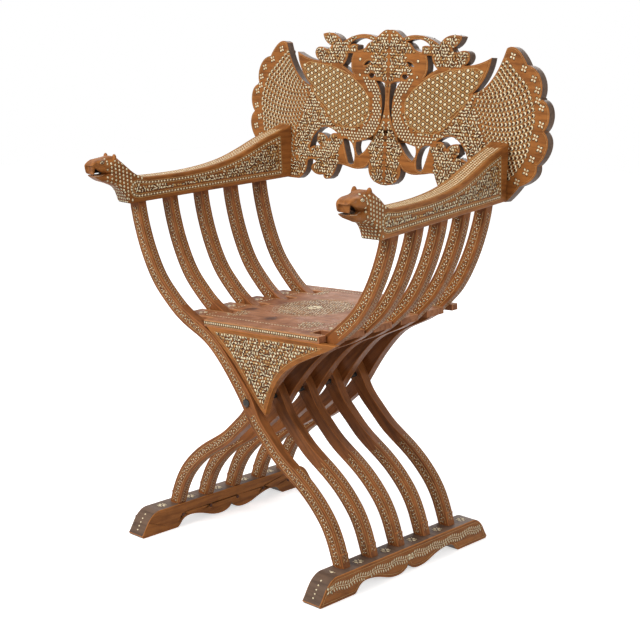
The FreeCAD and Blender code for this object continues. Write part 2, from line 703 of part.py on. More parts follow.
def key_pieces(name, slot):
    """Neck and head of the key, or the same two spaces of its slot."""
    grow = "sizes.face_gap" if slot else "0 * sizes.face_gap"
    gap = size("face_gap") if slot else 0.0
    tall = "sizes.key_tall"
    base = size("key_base")
    if slot:
        tall = "sizes.key_tall + sizes.key_base + sizes.cut_overrun + sizes.face_gap"
        base = -size("cut_overrun")
    middle = -size("arm_reach") + math.tan(TOE) * size("back_setback")
    neck = box(name + "_neck", "sizes.key_neck_width + 2 * %s" % grow,
               "sizes.key_neck_depth + sizes.face_gap", tall)
    head = box(name + "_head", "sizes.key_head_width + 2 * %s" % grow,
               "sizes.key_head_depth + 2 * %s" % grow, tall)
    neck_x = middle - size("key_neck_width") / 2 - gap
    head_x = middle - size("key_head_width") / 2 - gap
    place_on_back(neck, Placement(Vector(neck_x, -size("face_gap"), base), Rotation()))
    place_on_back(head, Placement(Vector(head_x, size("key_neck_depth") - gap, base), Rotation()))
    return joined(name, [neck, head])


back_body = padded("back_body", "XZ_Plane", back_outlines(), "sizes.back_thick")
place_on_back(back_body)
back_key = keep(key_pieces("back_key_solid", False), "back_key")
keep(cut_by("back_slotted", back_body, [key_pieces("back_slot", True)]), "back_board")


# Check every piece, then write one file for each

doc.recompute()
failed = [o.Name for o in doc.Objects if "Invalid" in o.State or "Error" in o.State]
if failed:
    raise RuntimeError("failed objects: " + ", ".join(failed))
boxes = [node.Shape.optimalBoundingBox(False) for node in NODES]
middle_y = (min(b.YMin for b in boxes) + max(b.YMax for b in boxes)) / 2
to_middle = Vector(0, -middle_y, 0)
os.makedirs("parts", exist_ok=True)
for node in NODES:
    shape = node.Shape
    if shape.isNull() or not shape.isValid() or not shape.Solids:
        raise RuntimeError("no sound solid in " + node.Label)
    shape = shape.translated(to_middle)
    shape.exportStep("parts/%s.step" % node.Label)
    centre = shape.BoundBox.Center
    print(node.Label, len(shape.Solids), round(shape.Volume / 1000, 1), "cm3 at",
          round(centre.x), round(centre.y), round(centre.z))
axis = seat_rotation().multVec(Vector(0, 1, 0))
print("moved along Y by", to_middle.y, "seat hinge axis", axis.x, axis.y, axis.z)
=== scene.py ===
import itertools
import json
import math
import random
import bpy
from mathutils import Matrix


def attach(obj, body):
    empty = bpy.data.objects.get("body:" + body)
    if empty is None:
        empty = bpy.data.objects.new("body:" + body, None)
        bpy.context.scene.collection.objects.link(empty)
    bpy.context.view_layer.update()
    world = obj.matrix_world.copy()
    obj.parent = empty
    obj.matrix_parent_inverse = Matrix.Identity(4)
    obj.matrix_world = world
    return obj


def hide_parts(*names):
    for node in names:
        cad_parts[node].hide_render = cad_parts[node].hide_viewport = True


bl_info = {
    "name": "Inlaid folding armchair",
    "version": (1, 0, 0),
    "blender": (4, 5, 0),
    "location": "View3D > Sidebar > Armchair",
    "description": "Dresses the armchair's parts with carved wood, bone inlay and dark iron",
    "category": "Object",
}

import bmesh
import bpy
import numpy as np
from mathutils import Matrix, Vector
from mathutils.bvhtree import BVHTree
from mathutils.geometry import delaunay_2d_cdt

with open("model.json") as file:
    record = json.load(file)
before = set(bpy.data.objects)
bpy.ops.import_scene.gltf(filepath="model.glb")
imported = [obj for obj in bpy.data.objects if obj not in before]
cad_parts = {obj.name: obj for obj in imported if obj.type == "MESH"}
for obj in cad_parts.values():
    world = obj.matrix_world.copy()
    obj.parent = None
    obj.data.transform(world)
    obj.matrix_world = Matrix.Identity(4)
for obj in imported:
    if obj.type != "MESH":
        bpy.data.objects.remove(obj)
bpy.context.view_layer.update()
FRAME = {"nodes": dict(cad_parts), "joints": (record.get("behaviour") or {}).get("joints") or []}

MM = 0.001
SIDES = (-1, 1)
SET_NAMES = {-1: "left", 1: "right"}

# Places of the parts, in millimetres and degrees, in the chair's own frame
MID_Y = FRAME["joints"][0]["pos_m"][1] / MM
CROSSING_HEIGHT = 296.0
ARM_REACH = 289.6
ARM_HEIGHT = 641.4
ARM_LENGTH = 490.0
ARM_DEPTH = 100.0
ARM_WIDTH = 40.0
SNOUT_WIDTH = 25.0
ARM_TOE_IN = math.radians(5.65)
ARM_RISE = math.radians(3.6)
FOOT_REACH = 231.5
FOOT_INSET = 5.5
FOOT_HEIGHT = 46.5
STAVE_THICK = 19.0
STAVE_PITCH = 72.9
PAIR_GAP = 1.6
HALF_RUN = 165.6
SEAT_BASE = (-150.0, 0.0, 429.4)
SEAT_TILT = math.radians(2.81)
SEAT_RISE = math.radians(1.72)
BACK_BASE = (0.0, 200.0, 653.0)
BACK_LEAN = math.radians(2.23)
STAVE_COUNT = 5

# Centre lines of the staves above and below the crossing, as shares of their reach and climb
UPPER_SHARES = [(0.0, 0.0), (0.095, 0.106), (0.203, 0.210), (0.348, 0.315), (0.498, 0.375),
                (0.613, 0.431), (0.698, 0.491), (0.780, 0.559), (0.839, 0.628),
                (0.885, 0.699), (0.926, 0.776), (0.961, 0.860), (0.984, 0.929), (1.0, 1.0)]
LOWER_SHARES = [(0.0, 0.0), (0.102, 0.140), (0.217, 0.240), (0.327, 0.331), (0.438, 0.401),
                (0.553, 0.465), (0.673, 0.543), (0.783, 0.635), (0.867, 0.727),
                (0.925, 0.818), (0.965, 0.906), (1.0, 1.0)]

# Crest of an arm as shares of its length and depth, then each beast's own head in millimetres
ARM_TOP = [(0.402, 0.997), (0.367, 0.950), (0.286, 0.835), (0.204, 0.690), (0.122, 0.565),
           (0.041, 0.490), (-0.041, 0.450), (-0.122, 0.435), (-0.204, 0.440),
           (-0.286, 0.455)]
HEADS = {
    -1: {"nape": [(-156.0, 47.5), (-169.0, 53.8), (-184.0, 66.2), (-197.0, 80.5), (-206.0, 89.5)],
         "brow": [(-214.0, 92.5), (-224.0, 92.0), (-236.0, 90.4), (-248.0, 88.0), (-256.0, 84.5),
                  (-261.4, 79.5), (-261.2, 72.0)],
         "lip": [(-259.0, 64.4), (-252.0, 62.4), (-242.0, 61.9), (-231.5, 61.6)],
         "tongue": [(-231.5, 61.6), (-240.0, 60.9), (-248.0, 60.9), (-255.5, 61.6)],
         "arch": [(-262.0, 16.5), (-257.0, 14.8), (-252.0, 11.0), (-243.0, 5.2), (-231.5, 0.0)],
         "jaw": [(-255.0, 58.8), (-249.0, 54.0), (-240.6, 48.2), (-226.0, 42.0), (-210.7, 34.5),
                 (-200.9, 25.5), (-194.8, 14.0)],
         "chest": [(-190.5, 3.0), (-186.0, 0.0)],
         "eye": (-240.0, 84.0),
         "ear": (-213.0, 88.0),
         "wall": -9.0},
    1: {"nape": [(-156.0, 47.0), (-168.0, 51.8), (-176.0, 58.0), (-184.0, 65.3), (-193.0, 73.6),
                 (-199.5, 80.0)],
        "brow": [(-205.0, 83.6), (-212.0, 84.8), (-222.0, 83.4), (-235.0, 80.4), (-249.0, 77.4),
                 (-257.5, 74.6), (-261.8, 69.5), (-261.2, 63.5)],
        "lip": [(-258.6, 56.8), (-250.0, 54.6), (-240.0, 53.8), (-228.3, 53.3)],
        "tongue": [(-228.3, 53.3), (-240.0, 52.7), (-249.0, 52.9), (-257.0, 53.8)],
        "arch": [(-262.0, 14.0), (-257.0, 13.2), (-252.0, 11.4), (-246.0, 8.8), (-237.0, 4.6),
                 (-228.3, 0.0)],
        "jaw": [(-256.4, 51.2), (-249.5, 47.0), (-243.0, 43.0), (-230.0, 36.5), (-213.6, 30.5),
                (-200.4, 21.5), (-191.6, 10.0)],
        "chest": [(-188.2, 2.0), (-183.5, 0.0)],
        "eye": (-232.5, 73.0),
        "ear": (-210.5, 80.6),
        "wall": -9.0}}


class ArmchairLooks(bpy.types.PropertyGroup):
    """Colours and small sizes of the armchair's finish"""

    wood_light: bpy.props.FloatVectorProperty(
        name="Light wood", description="Colour of the pale streaks of the carved wood",
        subtype="COLOR", size=3, min=0.0, max=1.0, default=(0.385, 0.142, 0.034))
    wood_dark: bpy.props.FloatVectorProperty(
        name="Dark wood", description="Colour of the dark streaks of the carved wood",
        subtype="COLOR", size=3, min=0.0, max=1.0, default=(0.105, 0.031, 0.008))
    stave_light: bpy.props.FloatVectorProperty(
        name="Light stave wood", description="Colour of the pale streaks of the staves",
        subtype="COLOR", size=3, min=0.0, max=1.0, default=(0.30, 0.105, 0.030))
    stave_dark: bpy.props.FloatVectorProperty(
        name="Dark stave wood", description="Colour of the dark streaks of the staves",
        subtype="COLOR", size=3, min=0.0, max=1.0, default=(0.075, 0.024, 0.009))
    seat_light: bpy.props.FloatVectorProperty(
        name="Light seat wood", description="Colour of the pale streaks of the seat",
        subtype="COLOR", size=3, min=0.0, max=1.0, default=(0.42, 0.178, 0.080))
    seat_dark: bpy.props.FloatVectorProperty(
        name="Dark seat wood", description="Colour of the dark streaks of the seat",
        subtype="COLOR", size=3, min=0.0, max=1.0, default=(0.17, 0.058, 0.026))
    bone: bpy.props.FloatVectorProperty(
        name="Bone", description="Colour of the bone slips of the inlay",
        subtype="COLOR", size=3, min=0.0, max=1.0, default=(0.98, 0.84, 0.56))
    line_wood: bpy.props.FloatVectorProperty(
        name="Line wood", description="Colour of the thin pale lines of the inlay",
        subtype="COLOR", size=3, min=0.0, max=1.0, default=(0.66, 0.38, 0.14))
    edge_round: bpy.props.FloatProperty(
        name="Edge rounding", description="Width of the worn rounding along wooden edges",
        default=0.0011, min=0.0002, max=0.004, unit="LENGTH")
    slip_rise: bpy.props.FloatProperty(
        name="Slip rise", description="How far an inlaid slip stands above the wood",
        default=0.00018, min=0.00005, max=0.001, unit="LENGTH")


# Shader node groups and materials: tints that multiply a colour, then whole colours

GRAIN_STRETCH = 11.0
STREAK_SCALE = 130.0
FIBRE_SCALE = 620.0
CLOUD_SCALE = 26.0
FRAY_SCALE = 70.0
TINT_SCALE = 210.0
SCRATCH_SCALE = 1400.0
PIT_SCALE = 420.0
RUST_SCALE = 90.0
RUBBED_TINT = (1.35, 1.28, 1.2, 1.0)
GRIMY_TINT = (0.55, 0.5, 0.5, 1.0)
SPILL_SHADE = (0.30, 0.27, 0.30, 1.0)
AGED_SLIP = (0.72, 0.72 * 0.92, 0.72 * 0.8)
IRON_BLACK = (0.045, 0.042, 0.040, 1.0)
IRON_RUST = (0.13, 0.055, 0.028, 1.0)
MASTIC_BROWN = (0.072, 0.026, 0.008)
ROSE_WOOD = (0.56, 0.39, 0.25)
MOUTH_DARK = (0.020, 0.009, 0.004)
TONGUE_WOOD = (0.30, 0.19, 0.13)
PEG_LIGHT = (0.12, 0.05, 0.03)
PEG_DARK = (0.05, 0.022, 0.014)
# Greyer, darker wood of turned-away faces: partly dust, partly painted shade in narrow walls and
# piercings
DUST_SHADE_LIGHT = (0.17, 0.105, 0.070)
DUST_SHADE_DARK = (0.060, 0.036, 0.026)


def new_group(name, inputs, outputs):
    """An empty shader node group with the given sockets, and its two end nodes."""
    group = bpy.data.node_groups.new(name, "ShaderNodeTree")
    for label, kind, value in inputs:
        socket = group.interface.new_socket(label, in_out="INPUT", socket_type=kind)
        if value is not None:
            socket.default_value = value
    for label, kind in outputs:
        group.interface.new_socket(label, in_out="OUTPUT", socket_type=kind)
    start = group.nodes.new("NodeGroupInput")
    end = group.nodes.new("NodeGroupOutput")
    return group, start, end


def noise_node(tree, vector, scale, detail, distortion=0.0):
    """A noise texture fed by a vector socket."""
    node = tree.nodes.new("ShaderNodeTexNoise")
    node.inputs["Scale"].default_value = scale
    node.inputs["Detail"].default_value = detail
    node.inputs["Distortion"].default_value = distortion
    tree.links.new(vector, node.inputs["Vector"])
    return node


def maths(tree, operation, first, second, clamp=False):
    """A math node whose inputs are sockets or plain numbers; returns its output."""
    node = tree.nodes.new("ShaderNodeMath")
    node.operation = operation
    node.use_clamp = clamp
    for slot, value in zip(node.inputs, (first, second)):
        if isinstance(value, (int, float)):
            slot.default_value = value
        else:
            tree.links.new(value, slot)
    return node.outputs[0]


def spread(tree, value, low, high, out_low=0.0, out_high=1.0):
    """Stretches a value from one range to another, clamped."""
    node = tree.nodes.new("ShaderNodeMapRange")
    node.inputs["From Min"].default_value = low
    node.inputs["From Max"].default_value = high
    node.inputs["To Min"].default_value = out_low
    node.inputs["To Max"].default_value = out_high
    tree.links.new(value, node.inputs["Value"])
    return node.outputs["Result"]


def blend_colours(tree, factor, first, second, mode="MIX"):
    """A colour mix whose inputs are sockets, numbers or colours; returns its output."""
    node = tree.nodes.new("ShaderNodeMix")
    node.data_type = "RGBA"
    node.blend_type = mode
    for slot, value in ((node.inputs[0], factor), (node.inputs[6], first),
                        (node.inputs[7], second)):
        if isinstance(value, (int, float, tuple)):
            slot.default_value = value
        else:
            tree.links.new(value, slot)
    return node.outputs[2]


def noise_bump(tree, shader, height, strength, distance):
    """Roughens a shader's surface by a height socket."""
    bump = tree.nodes.new("ShaderNodeBump")
    bump.inputs["Strength"].default_value = strength
    bump.inputs["Distance"].default_value = distance
    tree.links.new(height, bump.inputs["Height"])
    tree.links.new(bump.outputs["Normal"], shader.inputs["Normal"])


def group_node(tree, group, settings):
    """A shader group in a tree, with the given values on its inputs."""
    node = tree.nodes.new("ShaderNodeGroup")
    node.node_tree = group
    for label, value in settings.items():
        node.inputs[label].default_value = value
    return node


def seen_mask(tree):
    """1 for rays that a viewer sees straight, in a mirror or through glass, else 0."""
    rays = tree.nodes.new("ShaderNodeLightPath")
    indirect = maths(tree, "MAXIMUM", rays.outputs["Is Glossy Ray"],
                     rays.outputs["Is Transmission Ray"])
    return maths(tree, "MAXIMUM", rays.outputs["Is Camera Ray"], indirect)


def grain_group():
    """Sawn wood: long streaks, fine pores and soft stains along the first axis."""
    name = "Sawn grain"
    if name in bpy.data.node_groups:
        return bpy.data.node_groups[name]
    group, start, end = new_group(
        name,
        [("Vector", "NodeSocketVector", None), ("Light", "NodeSocketColor", None),
         ("Dark", "NodeSocketColor", None), ("Stain", "NodeSocketFloat", 0.35)],
        [("Color", "NodeSocketColor"), ("Roughness", "NodeSocketFloat"),
         ("Height", "NodeSocketFloat")])
    about = group.nodes.new("ShaderNodeObjectInfo")
    shift = group.nodes.new("ShaderNodeVectorMath")
    shift.operation = "ADD"
    group.links.new(start.outputs["Vector"], shift.inputs[0])
    group.links.new(maths(group, "MULTIPLY", about.outputs["Random"], 7.0), shift.inputs[1])
    place = shift.outputs[0]
    streaks = noise_node(group, place, STREAK_SCALE, 4.0, 0.35)
    fibres = noise_node(group, place, FIBRE_SCALE, 3.0)
    clouds = noise_node(group, start.outputs["Vector"], CLOUD_SCALE, 3.0)
    figure = spread(group, streaks.outputs["Fac"], 0.34, 0.66)
    figure = maths(group, "MULTIPLY_ADD", figure, 0.8)
    hair = spread(group, fibres.outputs["Fac"], 0.42, 0.66)
    mixed = maths(group, "MULTIPLY", figure, spread(group, fibres.outputs["Fac"], 0.3, 0.55,
                                                     0.72, 1.0), True)
    colour = blend_colours(group, mixed, start.outputs["Dark"], start.outputs["Light"])
    stain = maths(group, "MULTIPLY", spread(group, clouds.outputs["Fac"], 0.42, 0.7),
                  start.outputs["Stain"])
    colour = blend_colours(group, stain, colour, start.outputs["Dark"])
    group.links.new(colour, end.inputs["Color"])
    rough = spread(group, clouds.outputs["Fac"], 0.3, 0.7, 0.36, 0.52)
    group.links.new(rough, end.inputs["Roughness"])
    group.links.new(maths(group, "SUBTRACT", figure, maths(group, "MULTIPLY", hair, 0.6)),
                    end.inputs["Height"])
    return group


def handled_group():
    """Wear: where hands and dust have lightened or darkened the surface."""
    name = "Handled wear"
    if name in bpy.data.node_groups:
        return bpy.data.node_groups[name]
    group, start, end = new_group(
        name,
        [("Color", "NodeSocketColor", None), ("Roughness", "NodeSocketFloat", 0.4),
         ("Scale", "NodeSocketFloat", 60.0), ("Amount", "NodeSocketFloat", 0.3)],
        [("Color", "NodeSocketColor"), ("Roughness", "NodeSocketFloat")])
    where = group.nodes.new("ShaderNodeTexCoord")
    patches = group.nodes.new("ShaderNodeTexNoise")
    patches.inputs["Detail"].default_value = 5.0
    group.links.new(where.outputs["Object"], patches.inputs["Vector"])
    group.links.new(start.outputs["Scale"], patches.inputs["Scale"])
    rubbed = maths(group, "MULTIPLY", spread(group, patches.outputs["Fac"], 0.52, 0.68),
                   start.outputs["Amount"])
    grimy = maths(group, "MULTIPLY", spread(group, patches.outputs["Fac"], 0.46, 0.30),
                  start.outputs["Amount"])
    paler = blend_colours(group, 1.0, start.outputs["Color"], RUBBED_TINT, "MULTIPLY")
    darker = blend_colours(group, 1.0, start.outputs["Color"], GRIMY_TINT, "MULTIPLY")
    colour = blend_colours(group, rubbed, start.outputs["Color"], paler)
    colour = blend_colours(group, grimy, colour, darker)
    group.links.new(colour, end.inputs["Color"])
    group.links.new(maths(group, "SUBTRACT", start.outputs["Roughness"],
                          maths(group, "MULTIPLY", rubbed, 0.3)), end.inputs["Roughness"])
    return group


def fresh_material(name):
    """A material with a Principled shader, and the parts needed to wire it."""
    material = bpy.data.materials.new(name)
    material.use_nodes = True
    tree = material.node_tree
    shader = tree.nodes["Principled BSDF"]
    return material, tree, shader


def spill_group():
    """A soft-edged mark round a place, its edge frayed by noise."""
    name = "Spilt mark"
    if name in bpy.data.node_groups:
        return bpy.data.node_groups[name]
    group, start, end = new_group(
        name, [("Vector", "NodeSocketVector", None), ("Place", "NodeSocketVector", None),
               ("Reach", "NodeSocketFloat", 0.02)], [("Mask", "NodeSocketFloat")])
    frayed = noise_node(group, start.outputs["Vector"], FRAY_SCALE, 4.0)
    far = group.nodes.new("ShaderNodeVectorMath")
    far.operation = "DISTANCE"
    group.links.new(start.outputs["Vector"], far.inputs[0])
    group.links.new(start.outputs["Place"], far.inputs[1])
    share = maths(group, "DIVIDE", far.outputs["Value"], start.outputs["Reach"])
    share = maths(group, "ADD", share, frayed.outputs["Fac"])
    group.links.new(spread(group, share, 1.5, 0.9), end.inputs["Mask"])
    return group


def wood_material(name, light, dark, turn=(0.0, 0.0, 0.0), stain=0.35, wear=0.3, coat=0.02,
                  spills=()):
    """Polished wood whose grain runs along the X axis of the given turn."""
    if name in bpy.data.materials:
        return bpy.data.materials[name]
    material, tree, shader = fresh_material(name)
    where = tree.nodes.new("ShaderNodeTexCoord")
    aim = tree.nodes.new("ShaderNodeMapping")
    aim.vector_type = "TEXTURE"
    aim.inputs["Rotation"].default_value = turn
    aim.inputs["Scale"].default_value = (GRAIN_STRETCH, 1.0, 1.0)
    tree.links.new(where.outputs["Object"], aim.inputs["Vector"])
    grain = group_node(tree, grain_group(), {"Light": (*light, 1.0), "Dark": (*dark, 1.0),
                                             "Stain": stain})
    tree.links.new(aim.outputs["Vector"], grain.inputs["Vector"])
    worn = group_node(tree, handled_group(), {"Amount": wear})
    tree.links.new(grain.outputs["Color"], worn.inputs["Color"])
    tree.links.new(grain.outputs["Roughness"], worn.inputs["Roughness"])
    colour = worn.outputs["Color"]
    for place, reach in spills:
        spill = group_node(tree, spill_group(), {"Place": place, "Reach": reach})
        tree.links.new(where.outputs["Object"], spill.inputs["Vector"])
        shade = blend_colours(tree, 1.0, colour, SPILL_SHADE, "MULTIPLY")
        colour = blend_colours(tree, spill.outputs["Mask"], colour, shade)
    tree.links.new(colour, shader.inputs["Base Color"])
    tree.links.new(worn.outputs["Roughness"], shader.inputs["Roughness"])
    noise_bump(tree, shader, grain.outputs["Height"], 0.25, 0.0004)
    shader.inputs["Coat Weight"].default_value = coat
    shader.inputs["Coat Roughness"].default_value = 0.25
    shader.inputs["Specular IOR Level"].default_value = 0.12
    return material


def slip_material(name, colour, rough=0.34):
    """Bone or pale wood slips: each a little yellower or greyer than the next."""
    if name in bpy.data.materials:
        return bpy.data.materials[name]
    material, tree, shader = fresh_material(name)
    where = tree.nodes.new("ShaderNodeTexCoord")
    tint = noise_node(tree, where.outputs["Object"], TINT_SCALE, 1.0)
    fine = noise_node(tree, where.outputs["Object"], SCRATCH_SCALE, 2.0)
    low = tuple(c * s for c, s in zip(colour, AGED_SLIP)) + (1.0,)
    mixed = blend_colours(tree, spread(tree, tint.outputs["Fac"], 0.34, 0.56), low,
                          (*colour, 1.0))
    tree.links.new(mixed, shader.inputs["Base Color"])
    tree.links.new(spread(tree, fine.outputs["Fac"], 0.3, 0.7, rough - 0.06, rough + 0.1),
                   shader.inputs["Roughness"])
    shader.inputs["Specular IOR Level"].default_value = 0.2
    noise_bump(tree, shader, fine.outputs["Fac"], 0.15, 0.0001)
    return material


def iron_material():
    """Blackened iron with rubbed high spots and a little rust."""
    name = "Blackened iron"
    if name in bpy.data.materials:
        return bpy.data.materials[name]
    material, tree, shader = fresh_material(name)
    where = tree.nodes.new("ShaderNodeTexCoord")
    pits = noise_node(tree, where.outputs["Object"], PIT_SCALE, 6.0)
    rust = noise_node(tree, where.outputs["Object"], RUST_SCALE, 4.0)
    colour = blend_colours(tree, spread(tree, rust.outputs["Fac"], 0.52, 0.66),
                           IRON_BLACK, IRON_RUST)
    tree.links.new(colour, shader.inputs["Base Color"])
    tree.links.new(spread(tree, rust.outputs["Fac"], 0.45, 0.65, 0.9, 0.2),
                   shader.inputs["Metallic"])
    tree.links.new(spread(tree, pits.outputs["Fac"], 0.3, 0.7, 0.38, 0.7),
                   shader.inputs["Roughness"])
    noise_bump(tree, shader, pits.outputs["Fac"], 0.4, 0.0003)
    return material


def slip_finishes():
    """The inlay's materials, in the order of the numbers below."""
    looks = bpy.context.scene.armchair_looks
    return [slip_material("Bone slip", tuple(looks.bone)),
            slip_material("Line wood", tuple(looks.line_wood), 0.4),
            slip_material("Dark mastic", MASTIC_BROWN, 0.5),
            slip_material("Rose slip", ROSE_WOOD, 0.4)]


# Bone, the golden wood of thin lines, dark bedding and grey-pink wood
BONE, LINE, MASTIC, ROSE = range(4)

# Slips that are laid in rows: length, width, finish and how much wider their bed is
VINE_DOT = (2.3, 2.1, BONE, 0.6)
VINE_LEAF = (3.6, 1.4, LINE, 0.5)
EDGE_OVAL = (3.5, 2.3, ROSE, 0.7)
PANEL_DOT = (4.4, 3.7, BONE, 1.8)
NECK_DOT = (4.9, 3.9, BONE, 1.1)
BROW_DOT = (4.2, 3.2, BONE, 1.1)
EYE_BED = (12.0, 7.6, MASTIC)
EYE_WHITE = (9.4, 5.6, BONE)
PUPIL = (2.8, 2.8, MASTIC)
CHEST_DOT = (4.6, 3.3, BONE, 2.2)
TOP_LEAF = (5.8, 3.0, BONE)
TOP_BAR = (4.6, 0.8, LINE)
STEM_LEAF = (7.8, 2.7, BONE, 0.9)
FOOT_LEAF = (4.5, 2.2, BONE, 0.8)
END_DOT = (3.6, 3.2, BONE)
SEAT_EDGE_BAR = (2.9, 3.6, BONE, 2.2)
SEAT_FIELD_SEED = (5.0, 2.8, BONE, 0.8)
NOTCH_DOT = (3.0, 3.0, BONE, 0.8)
LATTICE_BAR = (4.2, 1.8, LINE, 1.3)
LATTICE_DOT = (6.6, 5.6, BONE, 2.0)
BREAST_DOT = (4.8, 4.0, BONE, 2.0)
BIRD_EYE = (5.4, 5.4, BONE, 2.2)

# Drawings of slips on a flat sheet, and the charts that lay them on a surface

TINY = 1e-6
# How far outside a part the rays that drop its slips start
RAY_FACE = 40
RAY_EDGE = 30
RAY_SIDE = 60.0
RAY_TOP = 200.0
RAY_FRONT = 330.0
BAR_OVERLAP = 1.04
STAR_HOLE = 0.12
PETAL_WIDTH = 0.36
SLIP_DEPTH = 0.35
BED_LENGTHEN = 1.1
BED_RISE = 0.45
# Beds of hollow slips are seed shaped, so that the hollow shows dark
HOLLOW_SLIPS = ("comma", "crescent")
# Lines along a sheet's edges: the shortest edge followed, the bars' pitch, how much longer a bar is
BORDER_SHORTEST = 0.05
BORDER_STEP = 3.0
BORDER_SLACK = 0.15
BORDER_OVERLAP = 1.12
# How squarely a polygon must face to be on a sheet, and how far below the top one it may lie
FACING = 0.995
SHEET_STEP = 0.4

SLIP_SHAPES = {
    "leaf": [(-0.5, 0.0), (-0.28, 0.36), (0.05, 0.5), (0.32, 0.3), (0.5, 0.0),
             (0.32, -0.3), (0.05, -0.5), (-0.28, -0.36)],
    "seed": [(-0.5, 0.0), (-0.36, 0.36), (0.0, 0.5), (0.36, 0.36), (0.5, 0.0),
             (0.36, -0.36), (0.0, -0.5), (-0.36, -0.36)],
    "dot": [(0.5, 0.0), (0.31, 0.39), (-0.11, 0.49), (-0.45, 0.22), (-0.45, -0.22),
            (-0.11, -0.49), (0.31, -0.39)],
    "comma": [(0.5, 0.05), (0.28, 0.42), (-0.1, 0.5), (-0.42, 0.3), (-0.5, -0.05),
              (-0.3, -0.5), (-0.22, -0.12), (0.05, 0.08)],
    "crescent": [(-0.45, -0.5), (0.1, -0.44), (0.45, -0.14), (0.5, 0.18), (0.25, 0.48),
                 (-0.15, 0.5), (-0.5, 0.3), (-0.12, 0.2), (0.04, 0.0), (-0.06, -0.28)],
    "bar": [(-0.5, -0.5), (0.5, -0.5), (0.5, 0.5), (-0.5, 0.5)],
    "petal": [(0.0, 0.0), (0.3, 0.42), (0.7, 0.5), (1.0, 0.0), (0.7, -0.5), (0.3, -0.42)],
}


def turns_left(points):
    """Whether a closed outline turns left."""
    x = points[:, 0]
    y = points[:, 1]
    return np.sum(x * np.roll(y, -1) - np.roll(x, -1) * y) > 0


def wound_left(points):
    """The points as an array, in the order that makes the outline turn left."""
    points = np.array(points)
    return points if turns_left(points) else points[::-1]


SLIP_SHAPES = {name: wound_left(points) for name, points in SLIP_SHAPES.items()}


class Drawing:
    """Slips placed on a flat sheet, in millimetres."""

    def __init__(self, marks=()):
        """A drawing that starts with a copy of the given slips."""
        self.marks = list(marks)

    def mark(self, shape, u, v, angle, length, width, finish=BONE, bed=0.0):
        """Adds a slip; bed is how much wider the dark bedding round it is."""
        self.marks.append((shape, u, v, angle, length, width, finish, bed))

    def line(self, points, width=0.7, finish=LINE, step=5.0, closed=False):
        """A thin line of short bars through the points."""
        path = even_path(points, step, closed)
        for first, second in zip(path, path[1:]):
            run = second - first
            length = float(np.hypot(*run))
            if length < TINY:
                continue
            middle = (first + second) / 2
            self.mark("bar", middle[0], middle[1], math.atan2(run[1], run[0]),
                      length * BAR_OVERLAP, width, finish)

    def star(self, u, v, size, petals=4, turn=0.3, finish=BONE, bed=2.0):
        """A small flower of petals round a point."""
        for k in range(petals):
            angle = turn + k * math.tau / petals
            self.mark("petal", u + STAR_HOLE * size * math.cos(angle),
                      v + STAR_HOLE * size * math.sin(angle), angle, size * 0.5,
                      size * PETAL_WIDTH, finish, bed)

    def mirrored(self):
        """The same slips with the first axis turned over."""
        return Drawing((shape, -u, v, math.pi - angle, length, width, finish, bed)
                       for shape, u, v, angle, length, width, finish, bed in self.marks)

    def kept_inside(self, sheet, margin):
        """Drops the slips that come too near the sheet's edge."""
        if not self.marks:
            return self
        points = np.array([(m[1], m[2]) for m in self.marks])
        good = sheet.holds(points, margin)
        self.marks = [m for m, g in zip(self.marks, good) if g]
        return self


def even_path(points, step, closed=False):
    """Points at even steps along a polyline."""
    pts = np.array(points, float)
    if closed:
        pts = np.vstack([pts, pts[:1]])
    seg = np.hypot(*np.diff(pts, axis=0).T)
    run = np.concatenate([[0], np.cumsum(seg)])
    count = max(2, int(round(run[-1] / step)) + 1)
    at = np.linspace(0, run[-1], count)
    return np.column_stack([np.interp(at, run, pts[:, 0]), np.interp(at, run, pts[:, 1])])


def smooth_path(points, per=6, closed=False):
    """A smooth curve through the points."""
    pts = [np.array(p, float) for p in points]
    if closed:
        pts = [pts[-1]] + pts + pts[:2]
    else:
        pts = [2 * pts[0] - pts[1]] + pts + [2 * pts[-1] - pts[-2]]
    out = []
    for a, b, c, d in zip(pts, pts[1:], pts[2:], pts[3:]):
        for k in range(per):
            t = k / per
            out.append(0.5 * (2 * b + (c - a) * t + (2 * a - 5 * b + 4 * c - d) * t * t
                              + (3 * b - a - 3 * c + d) * t ** 3))
    if not closed:
        out.append(pts[-2])
    return np.array(out)


def crossings(points, segments):
    """Whether each point is inside the closed outlines made of the segments."""
    x = points[:, 0][:, None]
    y = points[:, 1][:, None]
    x0, y0 = segments[:, 0, 0][None], segments[:, 0, 1][None]
    x1, y1 = segments[:, 1, 0][None], segments[:, 1, 1][None]
    spans = (y0 > y) != (y1 > y)
    with np.errstate(divide="ignore", invalid="ignore"):
        cut = (x1 - x0) * (y - y0) / (y1 - y0) + x0
    return (np.sum(spans & (x < cut), axis=1) % 2) == 1


def edge_distance(points, segments):
    """Distance from each point to the nearest segment."""
    start = segments[:, 0][None]
    run = (segments[:, 1] - segments[:, 0])[None]
    gap = points[:, None] - start
    length = np.maximum(np.sum(run * run, axis=2), 1e-12)
    share = np.clip(np.sum(gap * run, axis=2) / length, 0, 1)
    near = gap - run * share[..., None]
    return np.sqrt(np.min(np.sum(near * near, axis=2), axis=1))


def inside_by(points, segments, margin):
    """Which points are inside closed outlines by more than a margin."""
    return crossings(points, segments) & (edge_distance(points, segments) > margin)


def is_inside_by(u, v, segments, margin):
    """Whether one point is inside closed outlines by more than a margin."""
    return inside_by(np.array([[u, v]]), segments, margin)[0]


def is_near(u, v, segments, margin):
    """Whether a point is inside an outline or less than a margin outside it."""
    here = np.array([[u, v]])
    return crossings(here, segments)[0] or edge_distance(here, segments)[0] < margin


def outline_segments(points):
    """Segments of a closed outline."""
    pts = np.array(points, float)
    return np.stack([pts, np.roll(pts, -1, axis=0)], axis=1)


